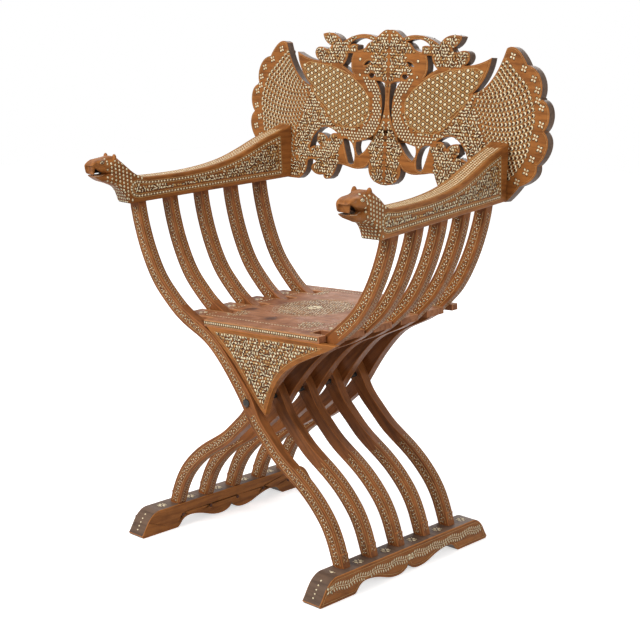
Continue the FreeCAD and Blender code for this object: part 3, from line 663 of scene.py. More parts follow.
def rim_edges(faces, ids):
    """Edges that only one face uses; ids gives corners at one place the same number."""
    uses = {}
    for face in faces:
        for first, second in zip(face, face[1:] + face[:1]):
            pair = tuple(sorted((ids[first], ids[second])))
            uses.setdefault(pair, []).append((first, second))
    return [pairs[0] for pairs in uses.values() if len(pairs) == 1]


class Sheet:
    """A flat face of a part: its plane, its outline and which points lie in it."""

    def __init__(self, node, origin, across, up):
        """Finds the node's topmost flat face that looks along across x up."""
        self.origin = np.array(origin, float)
        self.across = np.array(across, float)
        self.up = np.array(up, float)
        self.out = np.cross(self.across, self.up)
        mesh = FRAME["nodes"][node].data
        co = np.empty(len(mesh.vertices) * 3)
        mesh.vertices.foreach_get("co", co)
        co = co.reshape(-1, 3) / MM
        keys = {}
        ids = []
        for p in np.round(co, 3):
            ids.append(keys.setdefault(tuple(p), len(keys)))
        faces = [(float(np.dot(co[poly.vertices[0]] - self.origin, self.out)), poly)
                 for poly in mesh.polygons
                 if float(np.dot(np.array(poly.normal), self.out)) >= FACING]
        self.height = max(height for height, _ in faces)
        rim = rim_edges([list(poly.vertices) for height, poly in faces
                         if height >= self.height - SHEET_STEP], ids)
        ends = np.array([[co[a], co[b]] for a, b in rim]) - self.origin
        self.segments = np.stack([ends @ self.across, ends @ self.up], axis=2)

    def holds(self, points, margin):
        """Which points are in the face, and farther than a margin from its edges."""
        return inside_by(points, self.segments, margin)

    def chart(self, u, v):
        """Places and normals on the face, in metres."""
        p = (self.origin + self.out * self.height + np.outer(u, self.across)
             + np.outer(v, self.up))
        return p * MM, np.tile(self.out, (len(u), 1))


def slip_faces(count):
    """Corner numbers and sizes of a slip's faces: its top, then a wall for each side."""
    ring = np.arange(count)
    ahead = (ring + 1) % count
    walls = np.column_stack([ring, ring + count, ahead + count, ahead])
    return np.concatenate([ring, walls.ravel()]), np.array([count] + [4] * count)


def mesh_of_arrays(name, verts, loops, starts, finishes):
    """A mesh from its corners, the corner numbers of its faces and their materials."""
    mesh = bpy.data.meshes.new(name)
    mesh.vertices.add(len(verts))
    mesh.vertices.foreach_set("co", verts.astype(np.float32).ravel())
    mesh.loops.add(len(loops))
    mesh.loops.foreach_set("vertex_index", loops.astype(np.int32))
    mesh.polygons.add(len(starts))
    mesh.polygons.foreach_set("loop_start", starts.astype(np.int32))
    mesh.polygons.foreach_set("material_index", finishes.astype(np.int32))
    mesh.update(calc_edges=True)
    mesh.validate()
    return mesh


class Inlay:
    """One mesh of thin slips let into a part."""

    def __init__(self, name):
        """An inlay without slips."""
        self.name = name
        self.batches = []

    def lay(self, drawing, chart, lift=1.0):
        """Puts a drawing's slips on the surface that a chart describes."""
        groups = {}
        for shape, u, v, angle, length, width, finish, bed in drawing.marks:
            groups.setdefault((shape, finish, bed), []).append((u, v, angle, length, width))
        rise = bpy.context.scene.armchair_looks.slip_rise * lift
        for (shape, finish, bed), rows in groups.items():
            rows = np.array(rows, float)
            u, v, angle, length, width = rows.T
            place, normal = chart(u, v)
            ahead, _ = chart(u + 0.5 * np.cos(angle), v + 0.5 * np.sin(angle))
            along = ahead - place
            along -= normal * np.sum(along * normal, axis=1)[:, None]
            size = np.linalg.norm(along, axis=1)
            good = (size > 1e-7) & np.isfinite(place).all(axis=1)
            along = along[good] / size[good][:, None]
            args = (place[good], along, normal[good])
            if bed:
                ground = "seed" if shape in HOLLOW_SLIPS else shape
                self.batches.append((ground, *args, length[good] * BED_LENGTHEN + bed * 0.7,
                                     width[good] + bed, MASTIC, rise * BED_RISE))
            self.batches.append((shape, *args, length[good], width[good], finish, rise))

    def build(self, body):
        """Makes the mesh object and lets it ride on a body."""
        verts = []
        loops = []
        starts = []
        finishes = []
        base = 0
        loop_base = 0
        for shape, place, along, normal, length, width, finish, rise in self.batches:
            if len(place) == 0:
                continue
            points = SLIP_SHAPES[shape]
            count = len(points)
            side = np.cross(normal, along)
            flat = (place[:, None]
                    + along[:, None] * (points[None, :, :1] * length[:, None, None] * MM)
                    + side[:, None] * (points[None, :, 1:] * width[:, None, None] * MM))
            top = flat + normal[:, None] * rise
            low = flat - normal[:, None] * (SLIP_DEPTH * MM)
            verts.append(np.concatenate([top, low], axis=1).reshape(-1, 3))
            pattern, sizes = slip_faces(count)
            total = len(place)
            offsets = base + np.arange(total) * 2 * count
            loops.append((pattern[None] + offsets[:, None]).ravel())
            inner = np.concatenate([[0], np.cumsum(sizes)[:-1]])
            starts.append((inner[None] + loop_base
                           + (np.arange(total) * len(pattern))[:, None]).ravel())
            finishes.append(np.full(total * len(sizes), finish))
            base += total * 2 * count
            loop_base += total * len(pattern)
        mesh = mesh_of_arrays(self.name, *(np.concatenate(part)
                                           for part in (verts, loops, starts, finishes)))
        for material in slip_finishes():
            mesh.materials.append(material)
        item = bpy.data.objects.new(self.name, mesh)
        bpy.context.scene.collection.objects.link(item)
        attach(item, body)
        return item


def frame_matrix(base, turn):
    """A part's own frame in the row frame, in millimetres."""
    place = Vector((base[0], base[1] + MID_Y, base[2]))
    return Matrix.Translation(place) @ turn.to_4x4()


def arm_matrix(side):
    """An arm's own frame: Y along it to the rear, Z up."""
    turn = Matrix.Rotation(side * ARM_TOE_IN, 3, "Z") @ Matrix.Rotation(ARM_RISE, 3, "X")
    return frame_matrix((side * ARM_REACH, 0.0, ARM_HEIGHT), turn)


def seat_matrix():
    """The seat's own frame: X across it from the hinge, Y to the rear."""
    turn = Matrix.Rotation(SEAT_RISE, 3, "X") @ Matrix.Rotation(-SEAT_TILT, 3, "Y")
    return frame_matrix(SEAT_BASE, turn)


def back_matrix():
    """The back's own frame: Z up its lean, from the middle of its lower edge."""
    return frame_matrix(BACK_BASE, Matrix.Rotation(-BACK_LEAN, 3, "X"))


def axes_of(matrix):
    """The three axes and the origin of a frame, as arrays."""
    turn = np.array(matrix.to_3x3())
    return turn[:, 0], turn[:, 1], turn[:, 2], np.array(matrix.translation)


class Ground:
    """A surface that slips are dropped on."""

    def __init__(self, item):
        """Keeps an object's faces ready for rays."""
        mesh = item.data
        self.tree = BVHTree.FromPolygons([v.co.copy() for v in mesh.vertices],
                                         [tuple(p.vertices) for p in mesh.polygons])

    def dropped(self, points, ways):
        """First hits of rays from the points, in metres; misses become not-a-number."""
        places = np.full(points.shape, np.nan)
        normals = np.zeros(points.shape)
        for k, (p, way) in enumerate(zip(points, ways)):
            hit, normal, _, _ = self.tree.ray_cast(Vector(p), Vector(way))
            if hit is None:
                continue
            if normal.dot(Vector(way)) > 0:
                normal = -normal
            places[k] = hit
            normals[k] = normal
        return places, normals

    def chart(self, matrix, start, way):
        """A chart that drops slips a given way; start gives u and v in a part's own frame."""
        turn = np.array(matrix.to_3x3())
        origin = np.array(matrix.translation)

        def drop(u, v):
            """Places and normals under the points."""
            local = np.column_stack(start(u, v))
            ways = np.tile(turn @ np.array(way), (len(u), 1))
            return self.dropped((local @ turn.T + origin) * MM, ways)
        return drop


def front_chart(matrix, ground):
    """A chart of a part's front: u is across, v is up."""
    return ground.chart(matrix, lambda u, v: (u, np.full(len(u), -RAY_FRONT), v),
                        (0.0, 1.0, 0.0))


# Worn edges of the CAD parts
WELD_GAP = 0.00001
BEVEL_STEPS = 3
BEVEL_ANGLE = math.radians(38)
SHARP_ANGLE = math.radians(32)
WALL_FACING = 0.5


def dress(node, material, edge=None, round_by=None, walls=None, out=None):
    """Gives a CAD node its wood, its walls another where they turn from out, and worn edges."""
    item = FRAME["nodes"][node]
    item.data.materials.clear()
    item.data.materials.append(material)
    if edge is not None:
        item.data.materials.append(edge)
    # Faces turned from out take the third wood; the callers pass greyer wood that is partly dust,
    # partly painted shade on narrow walls
    if walls is not None:
        item.data.materials.append(walls)
        for poly in item.data.polygons:
            turned = abs(float(np.dot(poly.normal, out))) < WALL_FACING
            poly.material_index = 2 if turned else 0
    if round_by:
        weld = item.modifiers.new("Join corners", "WELD")
        weld.merge_threshold = WELD_GAP
        bevel = item.modifiers.new("Worn edges", "BEVEL")
        bevel.width = round_by
        bevel.segments = BEVEL_STEPS
        bevel.limit_method = "ANGLE"
        bevel.angle_limit = BEVEL_ANGLE
        bevel.use_clamp_overlap = False
        bevel.harden_normals = False
        if edge is not None:
            bevel.material = 1
        steady = item.modifiers.new("Even shading", "WEIGHTED_NORMAL")
        steady.keep_sharp = True
    shade_smooth(item.data, SHARP_ANGLE)
    return item


def shade_smooth(mesh, sharp):
    """Smooth shading apart from edges sharper than an angle."""
    mesh.polygons.foreach_set("use_smooth", [True] * len(mesh.polygons))
    mesh.set_sharp_from_angle(angle=sharp)


# Woods of the chair, each with its grain along the piece

# How much paler a rubbed edge is than its wood, and the turn of its grain
EDGE_TINT = 1.25
EDGE_TURN = (0.0, 0.0, 0.7)
ALONG_DEPTH = (0.0, 0.0, math.pi / 2)


def carved(turn_name, turn, kind="wood"):
    """The carved wood or stave wood with its grain along a turned axis."""
    looks = bpy.context.scene.armchair_looks
    light = tuple(getattr(looks, kind + "_light"))
    dark = tuple(getattr(looks, kind + "_dark"))
    return wood_material(f"{kind.capitalize()} {turn_name}", light, dark, turn)


def worn_edge(kind="wood"):
    """The paler wood of rubbed edges."""
    looks = bpy.context.scene.armchair_looks
    light = tuple(min(1.0, c * EDGE_TINT) for c in getattr(looks, kind + "_light"))
    dark = tuple(getattr(looks, kind + "_light"))
    return wood_material(f"{kind.capitalize()} worn edge", light, dark, EDGE_TURN, 0.2)


def dusty_shaded_wood():
    """Greyer, darker wood of the faces that turn away from a part's broad faces: partly dust,
    partly painted shade on narrow walls and inside the back's piercings.
    """
    return wood_material("Dusty edge wood", DUST_SHADE_LIGHT, DUST_SHADE_DARK)


def peg_wood():
    """The dark wood of pegs and of the back's key."""
    return wood_material("Peg wood", PEG_LIGHT, PEG_DARK)


# Staves

# Where the inlay of a stave starts and stops, then the half widths and steps of its bands
CROSSING_SHARE = 0.41
CROSSING_PLAIN = 15.0
LOWER_INLAID = 0.56
FOOT_PLAIN = 2.0
EDGE_FOOT_PLAIN = 6.0
ARM_PLAIN = 9.0
SEAT_TOP = {-1: 436.0, 1: 450.0}
EDGE_SEAT_PLAIN = 4.0
FACE_BAND = 6.6
FACE_STEP = 6.6
EDGE_BAND = 4.9
EDGE_STEP = 6.2
BAND_LINE = 0.8
STAVE_SLOPE = 0.78


def stave_front(side, row):
    """Front face of a stave, before the chair's middle is set."""
    lead = 0.0 if side < 0 else STAVE_THICK + PAIR_GAP
    return -HALF_RUN + STAVE_PITCH * row + lead


def stave_path(side, row, share_table, lower):
    """A stave's centre line from the crossing to one end, in its own plane."""
    y = stave_front(side, row) + STAVE_THICK / 2
    if lower:
        reach = (FOOT_REACH - FOOT_INSET) * -side
        climb = -(CROSSING_HEIGHT - FOOT_HEIGHT)
    else:
        reach = (ARM_REACH - math.tan(ARM_TOE_IN) * y) * side
        climb = ARM_HEIGHT + math.tan(ARM_RISE) * y - CROSSING_HEIGHT
    return smooth_path([(u * reach, CROSSING_HEIGHT + v * climb) for u, v in share_table], 8)


def stave_centre(side, row):
    """The whole centre line from the foot up to the arm."""
    low = stave_path(side, row, LOWER_SHARES, True)
    high = stave_path(side, row, UPPER_SHARES, False)
    return np.vstack([low[::-1], high[1:]])


class StaveChart:
    """Lays slips on a stave's front, rear or edge faces."""

    def __init__(self, side, row, item):
        """Follows one stave's centre line."""
        self.path = stave_centre(side, row)
        seg = np.hypot(*np.diff(self.path, axis=0).T)
        self.run = np.concatenate([[0], np.cumsum(seg)])
        self.length = self.run[-1]
        self.y = stave_front(side, row) + STAVE_THICK / 2 + MID_Y
        self.ground = Ground(item)

    def at(self, s):
        """Points of the path at runs along it."""
        return np.interp(s, self.run, self.path[:, 0]), np.interp(s, self.run, self.path[:, 1])

    def point(self, s):
        """Points of the path and its directions there."""
        x, z = self.at(s)
        x2, z2 = self.at(s + 1)
        x1, z1 = self.at(s - 1)
        tx, tz = x2 - x1, z2 - z1
        size = np.maximum(np.hypot(tx, tz), 1e-9)
        return x, z, tx / size, tz / size

    def at_height(self, height):
        """Where along the path a height is reached."""
        return float(np.interp(height, self.path[:, 1], self.run))

    def front(self, way):
        """A chart of the face that looks forward (-1) or back (1)."""
        def chart(s, v):
            """Places and normals on the face."""
            x, z, tx, tz = self.point(s)
            start = np.column_stack([x - tz * v, np.full(len(s), self.y + way * RAY_FACE),
                                     z + tx * v])
            ways = np.tile([0.0, -float(way), 0.0], (len(s), 1))
            return self.ground.dropped(start * MM, ways)
        return chart

    def edge(self, way):
        """A chart of the edge face on one side of the path."""
        def chart(s, v):
            """Places and normals on the edge."""
            x, z, tx, tz = self.point(s)
            nx, nz = -tz * way, tx * way
            start = np.column_stack([x + nx * RAY_EDGE, self.y + v, z + nz * RAY_EDGE])
            ways = np.column_stack([-nx, np.zeros(len(s)), -nz])
            return self.ground.dropped(start * MM, ways)
        return chart


def stave_face_drawing(start, stop, seed):
    """A waving vine of curled slips and small dots between thin lines along a face."""
    drawing = Drawing()
    rng = random.Random(seed)
    for edge in (-FACE_BAND, FACE_BAND):
        drawing.line([(start, edge), (stop, edge)], BAND_LINE, LINE)
    s = start + 4.0
    step = 0
    while s < stop - 3.0:
        way = 1 if step % 2 else -1
        drawing.mark("comma", s, way * rng.uniform(0.9, 2.0), way * rng.uniform(0.6, 1.5),
                     rng.uniform(4.1, 5.0), rng.uniform(2.4, 3.0), BONE, 0.9)
        drawing.mark("dot", s + 1.0, way * -3.6, 0.0, *VINE_DOT)
        drawing.mark("leaf", s + 3.4, way * rng.uniform(-2.0, -0.4), way * -0.5, *VINE_LEAF)
        s += FACE_STEP
        step += 1
    return drawing


def stave_edge_drawing(start, stop):
    """Two rows of small ovals between thin lines, along a stave's edge."""
    drawing = Drawing()
    for edge in (-EDGE_BAND, EDGE_BAND):
        drawing.line([(start, edge), (stop, edge)], BAND_LINE, LINE)
    s = start + 3.0
    while s < stop - 3.0:
        for ahead, level in ((-1.2, 2.1), (1.8, -2.1)):
            drawing.mark("seed", s + ahead, level, 0.7, *EDGE_OVAL)
        s += EDGE_STEP
    return drawing


class ARMCHAIR_OT_staves(bpy.types.Operator):
    """Dress the crossing staves with wood and inlay"""

    bl_idname = "armchair.staves"
    bl_label = "Staves"

    def execute(self, context):
        """Dresses all ten staves."""
        looks = context.scene.armchair_looks
        for side in SIDES:
            wood = carved(f"{SET_NAMES[side]} slope", (0.0, -side * STAVE_SLOPE, 0.0), "stave")
            edge = worn_edge("stave")
            for row in range(STAVE_COUNT):
                node = f"{SET_NAMES[side]}_stave_{row + 1}"
                item = dress(node, wood, edge, looks.edge_round)
                chart = StaveChart(side, row, item)
                inlay = Inlay(f"{node}_inlay")
                top = chart.length - ARM_PLAIN
                middle = chart.length * CROSSING_SHARE
                seat = chart.at_height(SEAT_TOP[side])
                low_stop = middle - CROSSING_PLAIN if row == 0 else middle * LOWER_INLAID
                high_start = middle + CROSSING_PLAIN if row == 0 and side < 0 else seat
                for face in SIDES:
                    inlay.lay(stave_face_drawing(FOOT_PLAIN, low_stop, row), chart.front(face))
                    inlay.lay(stave_face_drawing(high_start, top, row + 9), chart.front(face))
                for way in SIDES:
                    inlay.lay(stave_edge_drawing(seat + EDGE_SEAT_PLAIN, top), chart.edge(way))
                    inlay.lay(stave_edge_drawing(EDGE_FOOT_PLAIN, middle * LOWER_INLAID),
                              chart.edge(way))
                inlay.build(SET_NAMES[side] + "_half")
        return {"FINISHED"}


# Arms

UPPER_LIP = 1
TONGUE = 2
# Widths, roundings and places of an arm and its head
SNOUT_TIP = -262.0
TAPER_LENGTH = 60.0
HEAD_START = -186.0
HEAD_BLEND = 24.0
MUZZLE_START = -232.0
MUZZLE_BLEND = 14.0
ARM_ROUND = 3.2
HEAD_ROUND = 15.0
MUZZLE_ROUND = 4.5
TONGUE_DIP = 1.6
TONGUE_BLEND = 20.0
MOUTH_RISE = 2.5
LIP_DEPTH = 1.6
LIP_SLACK = 0.45
MOUTH_NEAR = 0.35
# Swellings of a head: offsets from its eye, size and rise
BUMPS = [(-1.0, 0.0, 6.5, 1.5), (-8.0, 6.5, 7.0, 1.2), (13.0, -18.0, 13.0, 2.2),
         (-20.0, -2.0, 5.0, 1.8), (-11.0, -2.0, 4.0, -0.9), (14.0, 1.0, 6.0, -1.2)]
BUMP_EDGE = 5.0
EAR_RADII = (5.3, 4.8, 8.4)
EAR_HOLLOW = 0.35
EAR_LEAN = math.radians(-12)
EAR_REACH = 14.6
# Where the back board cuts an arm off, in the back's own frame
ARM_END = {-1: -0.3, 1: -1.8}
ARM_SHARP = math.radians(40)
# Steps and rings of an arm's mesh
OUTLINE_STEP = 2.2
OUTLINE_GAP = 0.25
RING_DEPTHS = (0.45, 1.1, 2.1, 3.4, 5.2, 7.6, 10.4)
RING_KEPT = 0.93
GRID_STEP = 4.2
GRID_INSET = 11.5
WALL_STEPS = 12


def arm_outline(side):
    """An arm's side outline as a dense closed path, and the two edges of its open mouth."""
    head = HEADS[side]
    crest = [(u * ARM_LENGTH, v * ARM_DEPTH) for u, v in ARM_TOP]
    rear = crest[0][0] + 15.0
    top = smooth_path(crest + head["nape"] + head["brow"], 6)
    lip = smooth_path([tuple(top[-1])] + head["lip"], 5)
    tongue = np.array(head["tongue"])
    jaw = smooth_path([tuple(tongue[-1])] + head["jaw"] + head["chest"], 6)
    pieces = [[(rear, 0.0), (rear, crest[0][1] + 5.0)], top, lip[1:], tongue[1:], jaw[1:]]
    path = np.vstack([np.array(p, float) for p in pieces])
    keep = [path[0]]
    for p in path[1:]:
        if np.hypot(*(p - keep[-1])) > OUTLINE_GAP:
            keep.append(p)
    mouth = {UPPER_LIP: np.stack([lip[5:-1], lip[6:]], axis=1),
             TONGUE: np.stack([tongue[:-1], tongue[1:]], axis=1)}
    return even_path(keep, OUTLINE_STEP, True)[:-1], mouth


def arm_half_width(y):
    """Half the arm's width along its length: narrowing to the snout."""
    share = np.clip((y - SNOUT_TIP) / TAPER_LENGTH, 0, 1)
    tip = SNOUT_WIDTH / 2 + 1.0
    return tip + (ARM_WIDTH / 2 - tip) * np.sin(share * math.pi / 2)


def filled_outline(outline, segments):
    """Corners and triangles that fill an outline, finer toward its rim."""
    _, inward = directions(outline)
    points = [outline]
    for depth in RING_DEPTHS:
        ring = outline + inward * depth
        points.append(ring[inside_by(ring, segments, depth * RING_KEPT)])
    low = outline.min(0)
    high = outline.max(0)
    grid = np.array([(u, v) for u in np.arange(low[0], high[0], GRID_STEP)
                     for v in np.arange(low[1], high[1], GRID_STEP)])
    points.append(grid[inside_by(grid, segments, GRID_INSET)])
    flat = [Vector(p) for p in np.vstack(points)]
    result = delaunay_2d_cdt(flat, [], [list(range(len(outline)))], 1, 1e-5)
    return np.array([tuple(v) for v in result[0]]), result[2]


def half_widths(verts, gap, head):
    """Half the arm's width at each corner: round at the rim, swelling on the head."""
    front = np.clip((HEAD_START - verts[:, 0]) / HEAD_BLEND, 0, 1)
    muzzle = np.clip((MUZZLE_START - verts[:, 0]) / MUZZLE_BLEND, 0, 1)
    radius = ARM_ROUND + (HEAD_ROUND - ARM_ROUND) * front
    radius += (MUZZLE_ROUND - HEAD_ROUND) * muzzle
    inner = np.clip(gap, 0, radius)
    half = arm_half_width(verts[:, 0]) - radius + np.sqrt(
        np.maximum(radius ** 2 - (radius - inner) ** 2, 0))
    for u, v, size, rise in BUMPS:
        far = np.hypot(verts[:, 0] - head["eye"][0] - u, verts[:, 1] - head["eye"][1] - v)
        half += rise * np.exp(-(far / size) ** 2) * np.clip(gap / BUMP_EDGE, 0, 1)
    return np.minimum(half, ARM_WIDTH / 2 - 0.05)


def pillow(outline, mouth, head):
    """A closed carved form swelling between the two sides of an outline."""
    outline = wound_left(outline)
    segments = outline_segments(outline)
    verts, faces = filled_outline(outline, segments)
    half = half_widths(verts, edge_distance(verts, segments), head)
    build = bmesh.new()
    right, left = [[build.verts.new((way * h, p[0], opened(way * h, p, head)))
                    for p, h in zip(verts, half)] for way in (1, -1)]
    for face in faces:
        build.faces.new([right[i] for i in face])
        build.faces.new([left[i] for i in reversed(face)])
    rims = rim_edges(faces, range(len(verts)))
    strips = {}
    parts = {}
    for k in itertools.chain(*rims):
        if k not in strips:
            parts[k] = mouth_part(verts[k], mouth, head)
            strips[k] = wall_strip(build, verts[k], half[k], (right[k], left[k]), parts[k], head)
    for a, b in rims:
        kind = parts[a] if parts[a] == parts[b] else 0
        if kind == UPPER_LIP and verts[a][0] < head["lip"][0][0] + LIP_DEPTH:
            kind = 0
        for first, second, third, fourth in zip(strips[a], strips[a][1:], strips[b],
                                                strips[b][1:]):
            face = build.faces.new([third, first, second, fourth])
            face.material_index = kind
    bmesh.ops.recalc_face_normals(build, faces=build.faces)
    return build


def along(table, y):
    """The second value of a table at a place of the first."""
    pairs = sorted(table)
    return float(np.interp(y, [p[0] for p in pairs], [p[1] for p in pairs]))


def opened(x, point, head):
    """Height of a head's point once the mouth is arched open toward the right side."""
    y, z = point
    low = along(head["lip"], y)
    if y > head["lip"][-1][0] or z < low - LIP_SLACK:
        return z
    high = along(head["brow"][:-1], y)
    share = min(1.0, max(0.0, (x - head["wall"]) / MOUTH_RISE))
    share = share * share * (3 - 2 * share)
    return z + along(head["arch"], y) * share * min(1.0, max(0.0, (high - z) / (high - low)))


def mouth_part(point, mouth, head):
    """Which surface of the open mouth a rim point is on: 0 is outside it."""
    if point[0] > head["lip"][-1][0] + 0.3:
        return 0
    gaps = {kind: edge_distance(np.array([point]), lines)[0] for kind, lines in mouth.items()}
    kind = min(gaps, key=gaps.get)
    return kind if gaps[kind] < MOUTH_NEAR else 0


def wall_strip(build, point, half, ends, part, head):
    """The corners across the arm's thickness at one rim point, between its two ends."""
    strip = [ends[0]]
    for k in range(1, WALL_STEPS):
        x = 1 - 2 * k / WALL_STEPS
        height = opened(half * x, point, head)
        if part == TONGUE:
            share = min(1.0, (head["lip"][-1][0] - point[0]) / TONGUE_BLEND)
            height = point[1] - TONGUE_DIP * share * (1 - x * x)
        strip.append(build.verts.new((half * x, point[0], height)))
    strip.append(ends[1])
    return strip


def ear_form(build, side, head):
    """A small upright rounded ear joined to the head."""
    made = bmesh.ops.create_uvsphere(build, u_segments=16, v_segments=12, radius=1.0)
    wide, deep, tall = EAR_RADII
    for vert in made["verts"]:
        x, y, z = vert.co
        hollow = EAR_HOLLOW * max(0.0, 1.0 - (z - 0.15) ** 2 * 1.5) if y < 0 else 0.0
        vert.co = Vector((x * wide * (1.0 - 0.1 * z), y * (deep - hollow * deep), z * tall))
        vert.co = Matrix.Rotation(EAR_LEAN, 3, "X") @ vert.co
        vert.co += Vector((side * EAR_REACH, *head["ear"]))


def end_at_back(build, side):
    """Cuts an arm off where it meets the back, and closes the cut."""
    back = back_matrix()
    turn = back.to_3x3()
    bmesh.ops.bisect_plane(build, geom=build.verts[:] + build.edges[:] + build.faces[:],
                           plane_co=back.translation + turn @ Vector((0.0, ARM_END[side], 0.0)),
                           plane_no=turn @ Vector((0.0, 1.0, 0.0)), clear_outer=True)
    bmesh.ops.edgeloop_fill(build, edges=[e for e in build.edges if e.is_boundary])


class ARMCHAIR_OT_arms(bpy.types.Operator):
    """Carve the arms with their beast heads and lay their inlay"""

    bl_idname = "armchair.arms"
    bl_label = "Arms"

    def execute(self, context):
        """Makes both arms."""
        wood = carved("along arms", ALONG_DEPTH)
        for side in SIDES:
            node = f"{SET_NAMES[side]}_arm"
            outline, mouth = arm_outline(side)
            build = pillow(outline, mouth, HEADS[side])
            for ear in SIDES:
                ear_form(build, ear, HEADS[side])
            build.transform(arm_matrix(side))
            end_at_back(build, side)
            build.transform(Matrix.Scale(MM, 4))
            bmesh.ops.recalc_face_normals(build, faces=build.faces)
            mesh = bpy.data.meshes.new(f"{node}_carved")
            build.to_mesh(mesh)
            build.free()
            for material in (wood, slip_material("Mouth shade", MOUTH_DARK, 0.6),
                             slip_material("Tongue wood", TONGUE_WOOD, 0.45)):
                mesh.materials.append(material)
            shade_smooth(mesh, ARM_SHARP)
            item = bpy.data.objects.new(f"{node}_carved", mesh)
            context.scene.collection.objects.link(item)
            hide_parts(node)
            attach(item, SET_NAMES[side] + "_half")
            lay_arm_inlay(side, node, item, outline)
        return {"FINISHED"}


def arm_chart(side, ground, face):
    """A chart of one side of an arm: u is along it, v is up."""
    return ground.chart(arm_matrix(side), lambda u, v: (np.full(len(u), face * RAY_SIDE), u, v),
                        (-face, 0.0, 0.0))


def arm_top_chart(side, ground):
    """A chart of an arm's top: u is along it, v is across."""
    return ground.chart(arm_matrix(side), lambda u, v: (v, u, np.full(len(u), RAY_TOP)),
                        (0.0, 0.0, -1.0))


# How far the eye and the pupil stand above the other slips, as shares of their rise
EYE_LIFT = 4.0
PUPIL_LIFT = 5.2


def lay_arm_inlay(side, node, item, outline):
    """Panels of scrolls on both sides, a dense band on top, and the beast's face."""
    ground = Ground(item)
    head = HEADS[side]
    inlay = Inlay(f"{node}_inlay")
    panel = arm_panel_drawing()
    beast = beast_drawing(outline_segments(outline), head)
    for face in SIDES:
        chart = arm_chart(side, ground, face)
        inlay.lay(panel, chart)
        inlay.lay(beast, chart)
        inlay.lay(eye_drawing(head), chart, EYE_LIFT)
        inlay.lay(pupil_drawing(head), chart, PUPIL_LIFT)
    inlay.lay(arm_top_drawing(), arm_top_chart(side, ground))
    inlay.lay(chest_drawing(), front_chart(arm_matrix(side), ground))
    inlay.build(SET_NAMES[side] + "_half")


PANEL_REAR = 182.0
PANEL_TOP_DROP = (6.5, 10.0)
PANEL_FOOT = 8.8
PANEL_NOSE = [(-157.0, 41.0), (-169.0, 43.0), (-179.0, 39.5), (-185.3, 31.0), (-184.6, 21.0),
              (-178.5, 12.6), (-167.0, 8.8)]
PANEL_RIM = 6.8
PANEL_CLEAR = 2.4
# Dots of the neck: their pitch, how near they come to the outline and to the panel
NECK_PITCH = (8.0, 7.0)
NECK_CLEAR = 2.6
NECK_PANEL_CLEAR = 3.4
BROW_DEGREES = (100.0, 68.0, 36.0, 4.0, -28.0)
TOP_BAND = (-168.0, 190.0)
TOP_EDGE = 15.0
TOP_ROWS = (-8.7, -2.9, 2.9, 8.7)
TOP_STEP = 5.6
TOP_SLANT = 0.75


def directions(ring):
    """Unit directions along a closed path, and those a quarter turn to their left."""
    ahead = np.roll(ring, -1, axis=0) - np.roll(ring, 1, axis=0)
    ahead /= np.maximum(np.linalg.norm(ahead, axis=1), 1e-9)[:, None]
    return ahead, np.column_stack([-ahead[:, 1], ahead[:, 0]])


def inset_ring(outline, inset, step):
    """The closed path at an even distance inside an outline, with its directions."""
    ring = even_path(outline, step, True)[:-1]
    ahead, inward = directions(ring)
    inner = ring + inward * (inset if turns_left(ring) else -inset)
    good = edge_distance(inner, outline_segments(outline)) > inset * 0.94
    return inner[good], ahead[good]


def arm_panel_outline():
    """The long panel on an arm's side, rounded at its front end."""
    crest = []
    for u, v in smooth_path([(u * ARM_LENGTH, v * ARM_DEPTH) for u, v in ARM_TOP], 6):
        share = (u + ARM_LENGTH / 2) / ARM_LENGTH
        drop = PANEL_TOP_DROP[0] + (PANEL_TOP_DROP[1] - PANEL_TOP_DROP[0]) * share
        if u < PANEL_REAR:
            crest.append((u, v - drop))
    nose = [tuple(p) for p in smooth_path([crest[-1]] + PANEL_NOSE, 5)[1:]]
    return [(PANEL_REAR, crest[0][1] + 2.0)] + crest + nose + [(PANEL_REAR, PANEL_FOOT)]


# Fields of leaves: the share of golden ones, the pitch of their rows and of their whorls
GOLDEN_SHARE = 0.24
ROW_PITCH = 0.9
WHORL_PITCH = 0.87
WHORL_TURN = math.radians(62)
WHORL_EYE = 2.6


def curl(u, v, pitch):
    """Direction of a leaf in a field of small whorls, and its distance from the whorl."""
    row = round(v / (pitch * WHORL_PITCH))
    shift = 0.5 * pitch if row % 2 else 0.0
    column = round((u - shift) / pitch)
    x = u - column * pitch - shift
    y = v - row * pitch * WHORL_PITCH
    spin = 1 if (row + column) % 2 else -1
    return math.atan2(y, x) + spin * WHORL_TURN, math.hypot(x, y)


def curling_leaves(drawing, holds, low, high, seed=5, pitch=16.0, step=6.3, size=1.0, bed=1.9):
    """Leaves close together, turned round small whorls, wherever a test allows them."""
    rng = random.Random(seed)
    for row, v in enumerate(np.arange(low[1], high[1], step * ROW_PITCH)):
        for u in np.arange(low[0], high[0], step):
            x = u + (row % 2) * step / 2 + rng.uniform(-0.7, 0.7)
            y = v + rng.uniform(-0.5, 0.5)
            if not holds(x, y):
                continue
            angle, far = curl(x, y, pitch)
            angle += rng.uniform(-0.45, 0.45)
            if far < WHORL_EYE:
                drawing.mark("dot", x, y, angle, 4.4 * size, 4.2 * size, BONE, bed)
            else:
                shape = "comma" if rng.random() < 0.5 else "leaf"
                finish = LINE if rng.random() < GOLDEN_SHARE else BONE
                drawing.mark(shape, x, y, angle, rng.uniform(6.0, 7.2) * size,
                             rng.uniform(3.4, 4.2) * size, finish, bed)


